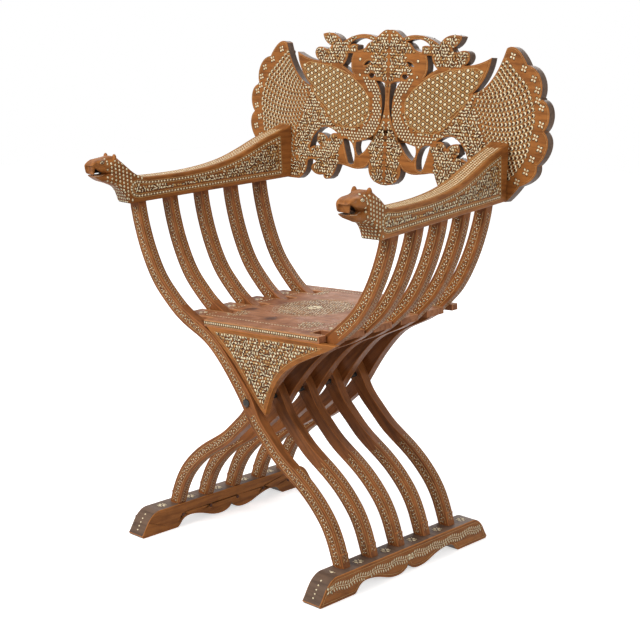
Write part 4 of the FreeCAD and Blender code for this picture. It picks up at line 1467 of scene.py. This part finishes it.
def arm_panel_drawing():
    """A dotted border round curling leaves."""
    panel = Drawing()
    outline = arm_panel_outline()
    segments = outline_segments(outline)
    for inset in (0.0, PANEL_RIM):
        path, _ = inset_ring(outline, inset + 0.01, 3.0)
        panel.line(path, 0.9, LINE, 3.5, True)
    dots, ways = inset_ring(outline, PANEL_RIM / 2, 6.9)
    for p, way in zip(dots, ways):
        panel.mark("seed", p[0], p[1], math.atan2(way[1], way[0]) + 0.35, *PANEL_DOT)

    def holds(u, v):
        """Inside the inner line."""
        return is_inside_by(u, v, segments, PANEL_RIM + PANEL_CLEAR)
    curling_leaves(panel, holds, (-184.0, 10.0), (PANEL_REAR, 100.0))
    return panel


def beast_drawing(segments, head):
    """Dots on the neck and round the back of the eye, and a line along the tongue."""
    drawing = Drawing()
    eye = head["eye"]
    panel = outline_segments(arm_panel_outline())
    front = head["lip"][-1][0]
    for column, x in enumerate(np.arange(-238.0, -152.0, NECK_PITCH[0])):
        for v in np.arange(3.0, 96.0, NECK_PITCH[1]):
            y = v + (column % 2) * NECK_PITCH[1] / 2
            if not is_inside_by(x, y, segments, NECK_CLEAR):
                continue
            if x < front + 1.5 + max(0.0, y - eye[1] + 10.0) * 0.9:
                continue
            if is_near(x, y, panel, NECK_PANEL_CLEAR) or (x > -180.0 and y < 44.0):
                continue
            drawing.mark("seed", x, y, 1.75, *NECK_DOT)
    for degrees in BROW_DEGREES:
        angle = math.radians(degrees)
        drawing.mark("seed", eye[0] + 11.5 * math.cos(angle), eye[1] + 8.5 * math.sin(angle),
                     angle + 1.5, *BROW_DOT)
    drawing.mark("seed", eye[0] + 0.8, eye[1] + 0.5, -0.1, *EYE_BED)
    drawing.line(smooth_path(head["tongue"], 4) - np.array([0.0, 1.2]), 1.2, ROSE, 2.5)
    return drawing


def eye_drawing(head):
    """The almond eye itself, above its dark bed."""
    drawing = Drawing()
    drawing.mark("leaf", head["eye"][0] - 1.2, head["eye"][1], -0.1, *EYE_WHITE)
    return drawing


def pupil_drawing(head):
    """The dark pupil, above the eye."""
    drawing = Drawing()
    drawing.mark("dot", head["eye"][0] + 0.4, head["eye"][1] + 0.2, 0.0, *PUPIL)
    return drawing


def chest_drawing():
    """Dots in rows on the front of the neck."""
    drawing = Drawing()
    for row, v in enumerate(np.arange(4.0, 40.0, 6.4)):
        for u in np.arange(-15.0, 16.0, 6.0):
            drawing.mark("seed", u + (row % 2) * 3.0, v, 1.6, *CHEST_DOT)
    return drawing


def arm_top_drawing():
    """Four close rows of small slips between lines along the arm's top."""
    drawing = Drawing()
    for edge in (-TOP_EDGE, TOP_EDGE):
        for share, width in ((1.0, 0.9), (0.84, 0.7)):
            drawing.line([(TOP_BAND[0], edge * share), (TOP_BAND[1], edge * share)], width, LINE)
    for u in np.arange(TOP_BAND[0] + 4.0, TOP_BAND[1] - 2.0, TOP_STEP):
        for row, v in enumerate(TOP_ROWS):
            x = u + (row % 2) * TOP_STEP / 2
            slant = TOP_SLANT if row % 2 else -TOP_SLANT
            drawing.mark("leaf", x, v, slant, *TOP_LEAF)
            drawing.mark("bar", x + TOP_STEP / 2, v, slant, *TOP_BAR)
    return drawing


# Feet

FOOT_CLEAR = 3.5
FOOT_BORDER = 5.5
FOOT_TOP_CLEAR = 3.0
STEM_LEVEL = 27.0
STEM_WAVE = 2.0
STEM_LENGTH = 26.0
STEM_LEAF_STEP = 6.4
FOOT_STARS = (-215.0, 0.0, 215.0)
STAR_LEAF_TURNS = (0.8, 2.35, 3.9, 5.5)
END_DOTS = (13.0, 19.5, 26.0, 32.5, 39.0)


class ARMCHAIR_OT_feet(bpy.types.Operator):
    """Dress the two sled feet, their pegs and their vine inlay"""

    bl_idname = "armchair.feet"
    bl_label = "Feet"

    def execute(self, context):
        """Dresses both feet."""
        looks = context.scene.armchair_looks
        wood = carved("along feet", ALONG_DEPTH)
        edge = worn_edge()
        for side in SIDES:
            node = f"{SET_NAMES[side]}_foot"
            # Tops, ends and soles of the feet take the greyer wood: partly dust, partly painted
            # shade
            dress(node, wood, edge, looks.edge_round, dusty_shaded_wood(), (1.0, 0.0, 0.0))
            dress(f"{SET_NAMES[side]}_foot_pegs", peg_wood())
            middle = (side * FOOT_REACH, MID_Y, 0.0)
            sheet = Sheet(node, middle, (0.0, side, 0.0), (0.0, 0.0, 1.0))
            inlay = Inlay(f"{node}_inlay")
            inlay.lay(foot_drawing().kept_inside(sheet, FOOT_CLEAR), sheet.chart)
            inlay.lay(border_line(sheet, FOOT_BORDER), sheet.chart)
            top = Sheet(node, middle, (0.0, 1.0, 0.0), (-1.0, 0.0, 0.0))
            inlay.lay(foot_top_drawing(-side).kept_inside(top, FOOT_TOP_CLEAR), top.chart)
            place = frame_matrix((side * FOOT_REACH, 0.0, 0.0), Matrix.Identity(3))
            inlay.lay(foot_end_drawing(), front_chart(place, Ground(FRAME["nodes"][node])))
            inlay.build(SET_NAMES[-side] + "_half")
        return {"FINISHED"}


def border_line(sheet, inset, width=0.7):
    """A line at an even distance inside every edge of a sheet."""
    drawing = Drawing()
    for first, second in sheet.segments:
        run = second - first
        length = float(np.hypot(*run))
        if length < BORDER_SHORTEST:
            continue
        side = np.array([-run[1], run[0]]) / length
        steps = max(1, int(length / BORDER_STEP))
        for k in range(steps):
            p = first + run * (k + 0.5) / steps
            for sign in SIDES:
                q = p + side * sign * inset
                if is_inside_by(q[0], q[1], sheet.segments, inset - BORDER_SLACK):
                    drawing.mark("bar", q[0], q[1], math.atan2(run[1], run[0]),
                                 length / steps * BORDER_OVERLAP + 0.2, width, LINE)
    return drawing


def foot_drawing():
    """A waving stem with a pair of slender leaves at each step, and a flower in its middle."""
    drawing = Drawing()

    def level(u):
        """Height of the stem."""
        return STEM_LEVEL + STEM_WAVE * math.sin(u / STEM_LENGTH * math.pi)
    drawing.line([(u, level(u)) for u in np.arange(-212, 213, 3.0)], 1.1, BONE, 3.0)
    for u in np.arange(-208.0, 210.0, STEM_LEAF_STEP):
        if abs(u) < 9.0:
            continue
        for up in SIDES:
            drawing.mark("leaf", u + up * 1.4, level(u) + up * 4.6, up * 1.15, *STEM_LEAF)
    for u in FOOT_STARS:
        drawing.star(u, STEM_LEVEL, 13.0, 4, 0.8, BONE, 1.0)
    return drawing


def foot_top_drawing(side):
    """A small flower between each two staves, on top of a foot."""
    drawing = Drawing()
    for row in range(-1, STAVE_COUNT):
        u = stave_front(side, row) + (STAVE_THICK + STAVE_PITCH) / 2
        drawing.star(u, 0.0, 15.0, 4, 0.0, BONE, 0.8)
        for turn in STAR_LEAF_TURNS:
            drawing.mark("leaf", u + 9.0 * math.cos(turn), 7.0 * math.sin(turn), turn,
                         *FOOT_LEAF)
    return drawing


def foot_end_drawing():
    """A row of dots up the sloping end of a foot."""
    drawing = Drawing()
    for v in END_DOTS:
        drawing.mark("dot", 0.0, v, 0.0, *END_DOT)
    return drawing


# Seat

SCREW_ROUND = 0.0003
SEAT_CENTRE = (142.0, 20.0)
MEDALLION = 79.0
MEDALLION_HOLE = 15.0
SEAT_FIELD = [(8.0, -130.0), (277.0, -130.0), (277.0, 167.0), (8.0, 167.0)]
SPRAYS = [(50.0, -92.0), (243.0, -97.0), (42.0, 134.0), (243.0, 134.0)]
SPRAY_REACH = 23.0
SEAT_STAINS = [((44.0, -51.0), 17.0), ((141.0, -91.0), 22.0), ((262.0, -20.0), 12.0)]
SEAT_STARS = {-1: -14.0, 1: 300.0}
SEAT_CLEAR = 6.0
SEAT_BORDER = 3.0
EDGE_RUN = (-60.0, 400.0)
EDGE_LINES = (-2.4, 4.4)
EDGE_CLEAR = 1.2


class ARMCHAIR_OT_seat(bpy.types.Operator):
    """Dress the seat, its battens and screws, and lay its medallion"""

    bl_idname = "armchair.seat"
    bl_label = "Seat"

    def execute(self, context):
        """Dresses the seat and what is under it."""
        looks = context.scene.armchair_looks
        across, back, up, origin = axes_of(seat_matrix())
        stains = [((origin + across * u + back * v) * MM, reach * MM)
                  for (u, v), reach in SEAT_STAINS]
        wood = wood_material("Stained seat wood", tuple(looks.seat_light),
                             tuple(looks.seat_dark), stain=0.7, wear=0.6, spills=stains)
        dress("seat_board", wood, worn_edge("seat"), looks.edge_round)
        under = carved("along arms", ALONG_DEPTH)
        for node in ("front_seat_batten", "rear_seat_batten"):
            dress(node, under, worn_edge(), looks.edge_round)
        dress("batten_screws", iron_material(), None, SCREW_ROUND)
        sheet = Sheet("seat_board", origin, across, back)
        inlay = Inlay("seat_inlay")
        inlay.lay(seat_drawing().kept_inside(sheet, SEAT_CLEAR), sheet.chart)
        inlay.lay(border_line(sheet, SEAT_BORDER), sheet.chart)
        front = Sheet("seat_board", origin, across, up)
        level = front.segments.reshape(-1, 2).mean(0)[1]
        inlay.lay(seat_edge_drawing(level).kept_inside(front, EDGE_CLEAR), front.chart)
        inlay.build("seat")
        return {"FINISHED"}


def seat_edge_drawing(level):
    """A row of small bars between two lines, along the seat's front edge."""
    drawing = Drawing()
    for u in np.arange(*EDGE_RUN, 5.6):
        drawing.mark("bar", u, level + 1.0, 0.1, *SEAT_EDGE_BAR)
    for line in EDGE_LINES:
        drawing.line([(u, level + line) for u in EDGE_RUN], 0.7, LINE)
    return drawing


def seat_drawing():
    """A round medallion, sprays in the corners, a dotted border and flowers at the notches."""
    drawing = Drawing()
    for radius, width in ((MEDALLION, 1.2), (MEDALLION - 4.5, 0.8)):
        ring = [(SEAT_CENTRE[0] + radius * math.cos(a), SEAT_CENTRE[1] + radius * math.sin(a))
                for a in np.linspace(0, math.tau, 90)]
        drawing.line(ring, width, ROSE, 4.0)

    def holds(u, v):
        """In the medallion's ring or in a spray."""
        far = math.hypot(u - SEAT_CENTRE[0], v - SEAT_CENTRE[1])
        return MEDALLION_HOLE < far < MEDALLION - 7.0 or any(
            math.hypot(u - x, v - y) < SPRAY_REACH for x, y in SPRAYS)
    curling_leaves(drawing, holds, (10.0, -125.0), (275.0, 165.0), 7, 15.0, 6.2, 0.8, 1.0)
    drawing.star(*SEAT_CENTRE, 26.0, 8, 0.0, BONE, 1.0)
    for p, q in zip(SEAT_FIELD, SEAT_FIELD[1:] + SEAT_FIELD[:1]):
        path = even_path([p, q], 7.4)
        angle = math.atan2(q[1] - p[1], q[0] - p[0])
        for u, v in path[:-1]:
            drawing.mark("seed", u, v, angle, *SEAT_FIELD_SEED)
    for side, u in SEAT_STARS.items():
        for row in range(STAVE_COUNT - 1):
            v = stave_front(side, row) + (STAVE_THICK + STAVE_PITCH) / 2
            drawing.star(u, v, 17.0, 4, 0.0, BONE, 0.8)
            drawing.mark("dot", u, v, 0.0, *NOTCH_DOT)
    return drawing


# Apron

APRON_BORDER = 8.0
APRON_CLEAR = 10.0


class ARMCHAIR_OT_apron(bpy.types.Operator):
    """Dress the apron below the seat and fill it with leaves"""

    bl_idname = "armchair.apron"
    bl_label = "Apron"

    def execute(self, context):
        """Dresses the apron."""
        looks = context.scene.armchair_looks
        wood = carved("across", (0.0, 0.0, 0.0))
        dress("apron", wood, worn_edge(), looks.edge_round)
        across, _, up, origin = axes_of(seat_matrix())
        sheet = Sheet("apron", origin, across, up)
        inlay = Inlay("apron_inlay")
        inlay.lay(apron_drawing(sheet), sheet.chart)
        inlay.lay(border_line(sheet, APRON_BORDER, 0.9), sheet.chart)
        inlay.build("seat")
        return {"FINISHED"}


def apron_drawing(sheet):
    """Large curling leaves inside the apron's border."""
    drawing = Drawing()
    low = sheet.segments.reshape(-1, 2).min(0)
    high = sheet.segments.reshape(-1, 2).max(0)

    def holds(u, v):
        """Inside the border."""
        return is_inside_by(u, v, sheet.segments, APRON_CLEAR)
    curling_leaves(drawing, holds, low, high, 3, 19.0, 6.9, 1.05)
    return drawing


# Back

BACK_ROUND = 0.0007
KEY_ROUND = 0.0006
# The slips of the rear face stand less proud, since the board fills its box there
REAR_LIFT = 0.4
BACK_BORDER = 2.6


class ARMCHAIR_OT_back(bpy.types.Operator):
    """Dress the pierced back and inlay its birds, flowers and leaves"""

    bl_idname = "armchair.back"
    bl_label = "Back"

    def execute(self, context):
        """Dresses the back and its key."""
        across, back, up, origin = axes_of(back_matrix())
        # Edges and the walls of the piercings take the greyer, darker wood: painted shade in the
        # piercings, partly dust
        dress("back_board", carved("across", (0.0, 0.0, 0.0)), worn_edge(), BACK_ROUND,
              dusty_shaded_wood(), back)
        dress("back_key", peg_wood(), None, KEY_ROUND)
        inlay = Inlay("back_inlay")
        half = bird_drawing()
        for way, lift in ((across, 1.0), (-across, REAR_LIFT)):
            sheet = Sheet("back_board", origin, way, up)
            for drawing in (half, half.mirrored()):
                kept = Drawing(drawing.marks).kept_inside(sheet, BACK_BORDER)
                inlay.lay(kept, sheet.chart, lift)
            inlay.lay(border_line(sheet, BACK_BORDER, 0.5), sheet.chart, lift)
        inlay.build("back")
        return {"FINISHED"}


# Fields of the half drawing, which starts at the back's middle
WING = [(64, 190), (88, 206), (110, 217), (145, 227), (205, 234), (225, 228),
        (215, 208), (200, 184), (180, 160), (160, 142), (140, 120), (115, 109), (80, 112),
        (55, 122), (45, 142), (45, 168)]
WING_BAND = [(45, 168), (64, 190), (88, 206), (110, 217), (145, 227), (142, 232), (108, 224),
             (84, 213), (58, 196), (38, 172), (40, 150), (45, 142)]
WING_TIP = [(200, 233), (224, 228), (232, 236), (250, 256), (228, 244)]
BREAST = [(18, 205), (38, 205), (56, 212), (78, 216), (58, 196), (38, 172), (38, 140), (48, 118),
          (80, 105), (118, 103), (122, 92), (100, 84), (70, 78), (45, 82), (22, 104), (12, 140),
          (12, 175)]
HEAD_PLAIN = [(44, 252), (88, 256), (92, 236), (86, 218), (62, 216), (56, 236)]
LEG_PLAIN = [(34, 0), (112, 0), (120, 60), (104, 88), (84, 84), (60, 84), (40, 60), (36, 30)]
# Where the tail's rays start and end, and the flowers of its lobes
TAIL_STARTS = [(250, 216), (238, 203), (229, 193), (216, 182), (207, 172), (211, 160),
               (219, 146), (224, 132), (228, 120), (236, 108), (240, 94), (243, 78), (244, 62),
               (240, 50), (234, 40)]
TAIL_ENDS = [(268, 256), (277, 249), (303, 225), (322, 207), (333, 184), (339, 168), (341, 148),
             (336, 124), (334, 102), (324, 76), (304, 52), (290, 36)]
TAIL_STARS = [(286, 257), (311, 236), (333, 219), (342, 200), (344, 182), (353, 170), (354, 141),
              (344, 118), (354, 99), (339, 80), (328, 57), (310, 38)]
TAIL_FIELD = TAIL_STARTS + [(300, 0), (420, 60), (420, 260), (300, 300), (256, 246)]
TAIL_RAYS = 26
TAIL_STEP = 8.4
TAIL_BEND = 0.10
SMALL_CRESCENT = 0.72
CRESCENT_GROWTH = 60.0
LATTICE_REACH = 24
LATTICE_LENGTH = 200
BREAST_PITCH = (7.4, 5.6)
BIRD_EYE_PLACE = (72.0, 242.0)
FOLIAGE_CLEAR = 2.2
MIDDLE_CLEAR = 2.6
LATTICE_DOWN = np.array([10.0, -4.7])
LATTICE_RISE = np.array([9.9, 7.7])
LATTICE_START = np.array([130.0, 170.0])


def bird_drawing():
    """One half of the back: a bird with a fanned tail, beside half a bouquet."""
    drawing = Drawing()
    lattice(drawing)
    tail(drawing)
    breast(drawing)
    foliage(drawing)
    return drawing


def lattice(drawing):
    """Crossing lines on a dark ground with a dot in each cell, on the folded wing."""
    segments = outline_segments(WING)
    for way, step in ((LATTICE_DOWN, LATTICE_RISE), (LATTICE_RISE, LATTICE_DOWN)):
        unit = way / np.hypot(*way)
        angle = math.atan2(unit[1], unit[0])
        for k in range(-LATTICE_REACH, LATTICE_REACH + 1):
            base = LATTICE_START + step * (k + 0.5)
            pts = np.array([base + unit * t
                            for t in np.arange(-LATTICE_LENGTH, LATTICE_LENGTH, 4.0)])
            for p in pts[inside_by(pts, segments, 1.4)]:
                drawing.mark("bar", p[0], p[1], angle, *LATTICE_BAR)
    for i in range(-LATTICE_REACH, LATTICE_REACH + 1):
        for j in range(-LATTICE_REACH, LATTICE_REACH + 1):
            p = LATTICE_START + LATTICE_DOWN * i + LATTICE_RISE * j
            if is_inside_by(p[0], p[1], segments, 2.4):
                drawing.mark("seed", p[0], p[1], 0.7, *LATTICE_DOT)
    drawing.line(np.array(WING, float), 1.1, LINE, 4.0, True)


def tail(drawing):
    """Curved rays of crescents with thin lines between, and flowers along the rim."""
    starts = even_path(smooth_path(TAIL_STARTS), 1.0)
    ends = even_path(smooth_path(TAIL_ENDS), 1.0)
    for k in range(2 * TAIL_RAYS - 1):
        share = k / (2 * TAIL_RAYS - 2)
        first = starts[int(share * (len(starts) - 1))]
        last = ends[int(share * (len(ends) - 1))]
        run = last - first
        length = float(np.hypot(*run))
        aside = np.array([run[1], -run[0]])
        steps = max(3, int(length / TAIL_STEP))
        shares = np.linspace(0, 1, steps + 1)
        path = np.array([first + run * t + aside * TAIL_BEND * 4 * t * (1 - t) for t in shares])
        if k % 2:
            drawing.line(path, 0.9, LINE, 4.0)
            continue
        for a, b in zip(path, path[1:]):
            way = b - a
            grown = min(1.0, float(np.hypot(*(a - first))) / CRESCENT_GROWTH)
            size = SMALL_CRESCENT + 0.28 * grown
            drawing.mark("crescent", *((a + b) / 2), math.atan2(way[1], way[0]) - 0.25,
                         5.8 * size, 7.4 * size, BONE, 2.2)
    for u, v in TAIL_STARS:
        drawing.star(u, v, 11.0, 4, 0.5, BONE, 1.6)


def breast(drawing):
    """Columns of dots down the neck and along the breast."""
    segments = outline_segments(BREAST)
    low = np.array(BREAST, float).min(0)
    high = np.array(BREAST, float).max(0)
    for row, v in enumerate(np.arange(low[1], high[1], BREAST_PITCH[1])):
        for u in np.arange(low[0], high[0], BREAST_PITCH[0]):
            x = u + (row % 2) * BREAST_PITCH[0] / 2
            if is_inside_by(x, v, segments, 2.0):
                drawing.mark("seed", x, v, 0.9, *BREAST_DOT)


def foliage(drawing):
    """Curling leaves over the bouquet, the rump, the stem and the side leaf; the bird's eye."""
    kept_clear = [outline_segments(region) for region in (WING, WING_BAND, WING_TIP, BREAST,
                                                          HEAD_PLAIN, LEG_PLAIN, TAIL_FIELD)]

    def holds(u, v):
        """Outside the bird's own fields."""
        return u >= MIDDLE_CLEAR and not any(is_near(u, v, field, FOLIAGE_CLEAR)
                                             for field in kept_clear)
    curling_leaves(drawing, holds, (2.0, 2.0), (262.0, 300.0), 11, 20.0, 6.5)
    drawing.mark("dot", *BIRD_EYE_PLACE, 0.0, *BIRD_EYE)


# Metal

METAL_ROUND = 0.0004
METAL_NODES = ("pivot_rod", "pivot_washer", "pivot_nut", "seat_hinge_rod", "seat_rest_rod")


class ARMCHAIR_OT_metal(bpy.types.Operator):
    """Finish the pivot rod, its washer and nut, and the seat's rods"""

    bl_idname = "armchair.metal"
    bl_label = "Metal"

    def execute(self, context):
        """Dresses the iron parts."""
        iron = iron_material()
        for node in METAL_NODES:
            dress(node, iron, None, METAL_ROUND)
        return {"FINISHED"}


# Stage: floor, lamps, world and camera

CAMERA_PLACE = (1.7564, MID_Y * MM - 1.8467, 0.9792)
CAMERA_LENS = 78.91
CAMERA_TURN = math.radians(43.18)
CAMERA_PITCH = math.radians(12.30)
CAMERA_ROLL = math.radians(0.446)
FLOOR_REACH = 6.0
FLOOR_TONE = (0.45, 0.44, 0.43, 1.0)
FLOOR_SEEN = (0.92, 0.92, 0.92, 1.0)
FLOOR_GLOW = 0.6
WORLD_LIGHT = 0.42
LAMP_AIM = (0.0, 0.0, 0.5)
# Name, place, size and power of each lamp
LAMPS = [("Key lamp", (-0.6, -2.6, 2.6), 1.6, 84.0), ("Fill lamp", (2.8, -0.8, 1.6), 1.6, 20.0),
         ("Rear lamp", (-1.0, 2.6, 2.4), 2.0, 30.0)]


def soft_lamp(name, place, size, power):
    """A square lamp pointing at the chair's middle."""
    lamp = bpy.data.lights.new(name, "AREA")
    lamp.shape = "SQUARE"
    lamp.size = size
    lamp.energy = power
    item = bpy.data.objects.new(name, lamp)
    item.location = place
    way = Vector(LAMP_AIM) - Vector(place)
    item.rotation_euler = way.to_track_quat("-Z", "Y").to_euler()
    bpy.context.scene.collection.objects.link(item)


def floor_material():
    """Pale floor that glows a little where it is seen, so that only shadows show on it."""
    material, tree, shader = fresh_material("Pale floor")
    seen = seen_mask(tree)
    tone = blend_colours(tree, seen, FLOOR_TONE, FLOOR_SEEN)
    tree.links.new(tone, shader.inputs["Base Color"])
    shader.inputs["Roughness"].default_value = 0.9
    glow = tree.nodes.new("ShaderNodeEmission")
    tree.links.new(maths(tree, "MULTIPLY", seen, FLOOR_GLOW), glow.inputs["Strength"])
    add = tree.nodes.new("ShaderNodeAddShader")
    tree.links.new(shader.outputs[0], add.inputs[0])
    tree.links.new(glow.outputs[0], add.inputs[1])
    tree.links.new(add.outputs[0], tree.nodes["Material Output"].inputs["Surface"])
    return material


def studio_world():
    """White surroundings that light the chair less than they show."""
    world = bpy.data.worlds.new("Studio")
    world.use_nodes = True
    tree = world.node_tree
    background = tree.nodes["Background"]
    background.inputs["Color"].default_value = (1.0, 1.0, 1.0, 1.0)
    strength = spread(tree, seen_mask(tree), 0.0, 1.0, WORLD_LIGHT, 1.0)
    tree.links.new(strength, background.inputs["Strength"])
    return world


class ARMCHAIR_OT_stage(bpy.types.Operator):
    """Set the floor, the studio light and the camera"""

    bl_idname = "armchair.stage"
    bl_label = "Stage"

    def execute(self, context):
        """Makes the stage."""
        scene = context.scene
        scene.view_settings.view_transform = "Standard"
        mesh = bpy.data.meshes.new("floor")
        mesh.from_pydata([(-FLOOR_REACH, -FLOOR_REACH, 0), (FLOOR_REACH, -FLOOR_REACH, 0),
                          (FLOOR_REACH, FLOOR_REACH, 0), (-FLOOR_REACH, FLOOR_REACH, 0)],
                         [], [(0, 1, 2, 3)])
        mesh.materials.append(floor_material())
        floor = bpy.data.objects.new("floor", mesh)
        scene.collection.objects.link(floor)
        scene.world = studio_world()
        for lamp in LAMPS:
            soft_lamp(*lamp)
        place_camera(scene)
        return {"FINISHED"}


def place_camera(scene):
    """The camera at the photograph's viewing angle."""
    right = Vector((math.cos(CAMERA_TURN), math.sin(CAMERA_TURN), 0.0))
    ahead = Vector((-math.sin(CAMERA_TURN) * math.cos(CAMERA_PITCH),
                    math.cos(CAMERA_TURN) * math.cos(CAMERA_PITCH), -math.sin(CAMERA_PITCH)))
    up = right.cross(ahead)
    turned_right = right * math.cos(CAMERA_ROLL) + up * math.sin(CAMERA_ROLL)
    turned_up = up * math.cos(CAMERA_ROLL) - right * math.sin(CAMERA_ROLL)
    lens = bpy.data.cameras.new("Camera")
    lens.sensor_width = 36.0
    lens.lens = CAMERA_LENS
    camera = bpy.data.objects.new("Camera", lens)
    turn = Matrix((turned_right, turned_up, -ahead)).transposed()
    camera.matrix_world = Matrix.Translation(CAMERA_PLACE) @ turn.to_4x4()
    scene.collection.objects.link(camera)
    scene.camera = camera


class ARMCHAIR_PT_panel(bpy.types.Panel):
    """Lists the armchair's steps"""

    bl_label = "Armchair"
    bl_idname = "ARMCHAIR_PT_panel"
    bl_space_type = "VIEW_3D"
    bl_region_type = "UI"
    bl_category = "Armchair"

    def draw(self, context):
        """Shows the settings and a button for each step."""
        looks = context.scene.armchair_looks
        for name in ArmchairLooks.__annotations__:
            self.layout.prop(looks, name)
        for step in STEPS:
            self.layout.operator(step.bl_idname)


STEPS = (ARMCHAIR_OT_stage, ARMCHAIR_OT_staves, ARMCHAIR_OT_arms, ARMCHAIR_OT_feet,
         ARMCHAIR_OT_seat, ARMCHAIR_OT_apron, ARMCHAIR_OT_back, ARMCHAIR_OT_metal)


def register():
    """Makes the settings, the steps and the panel known."""
    for cls in (ArmchairLooks,) + STEPS + (ARMCHAIR_PT_panel,):
        bpy.utils.register_class(cls)
    bpy.types.Scene.armchair_looks = bpy.props.PointerProperty(type=ArmchairLooks)


def unregister():
    """Takes them away again."""
    del bpy.types.Scene.armchair_looks
    for cls in reversed((ArmchairLooks,) + STEPS + (ARMCHAIR_PT_panel,)):
        bpy.utils.unregister_class(cls)


def main():
    """Builds everything in order."""
    register()
    bpy.ops.armchair.stage()
    bpy.ops.armchair.staves()
    bpy.ops.armchair.arms()
    bpy.ops.armchair.feet()
    bpy.ops.armchair.seat()
    bpy.ops.armchair.apron()
    bpy.ops.armchair.back()
    bpy.ops.armchair.metal()


if __name__ == "__main__":
    main()
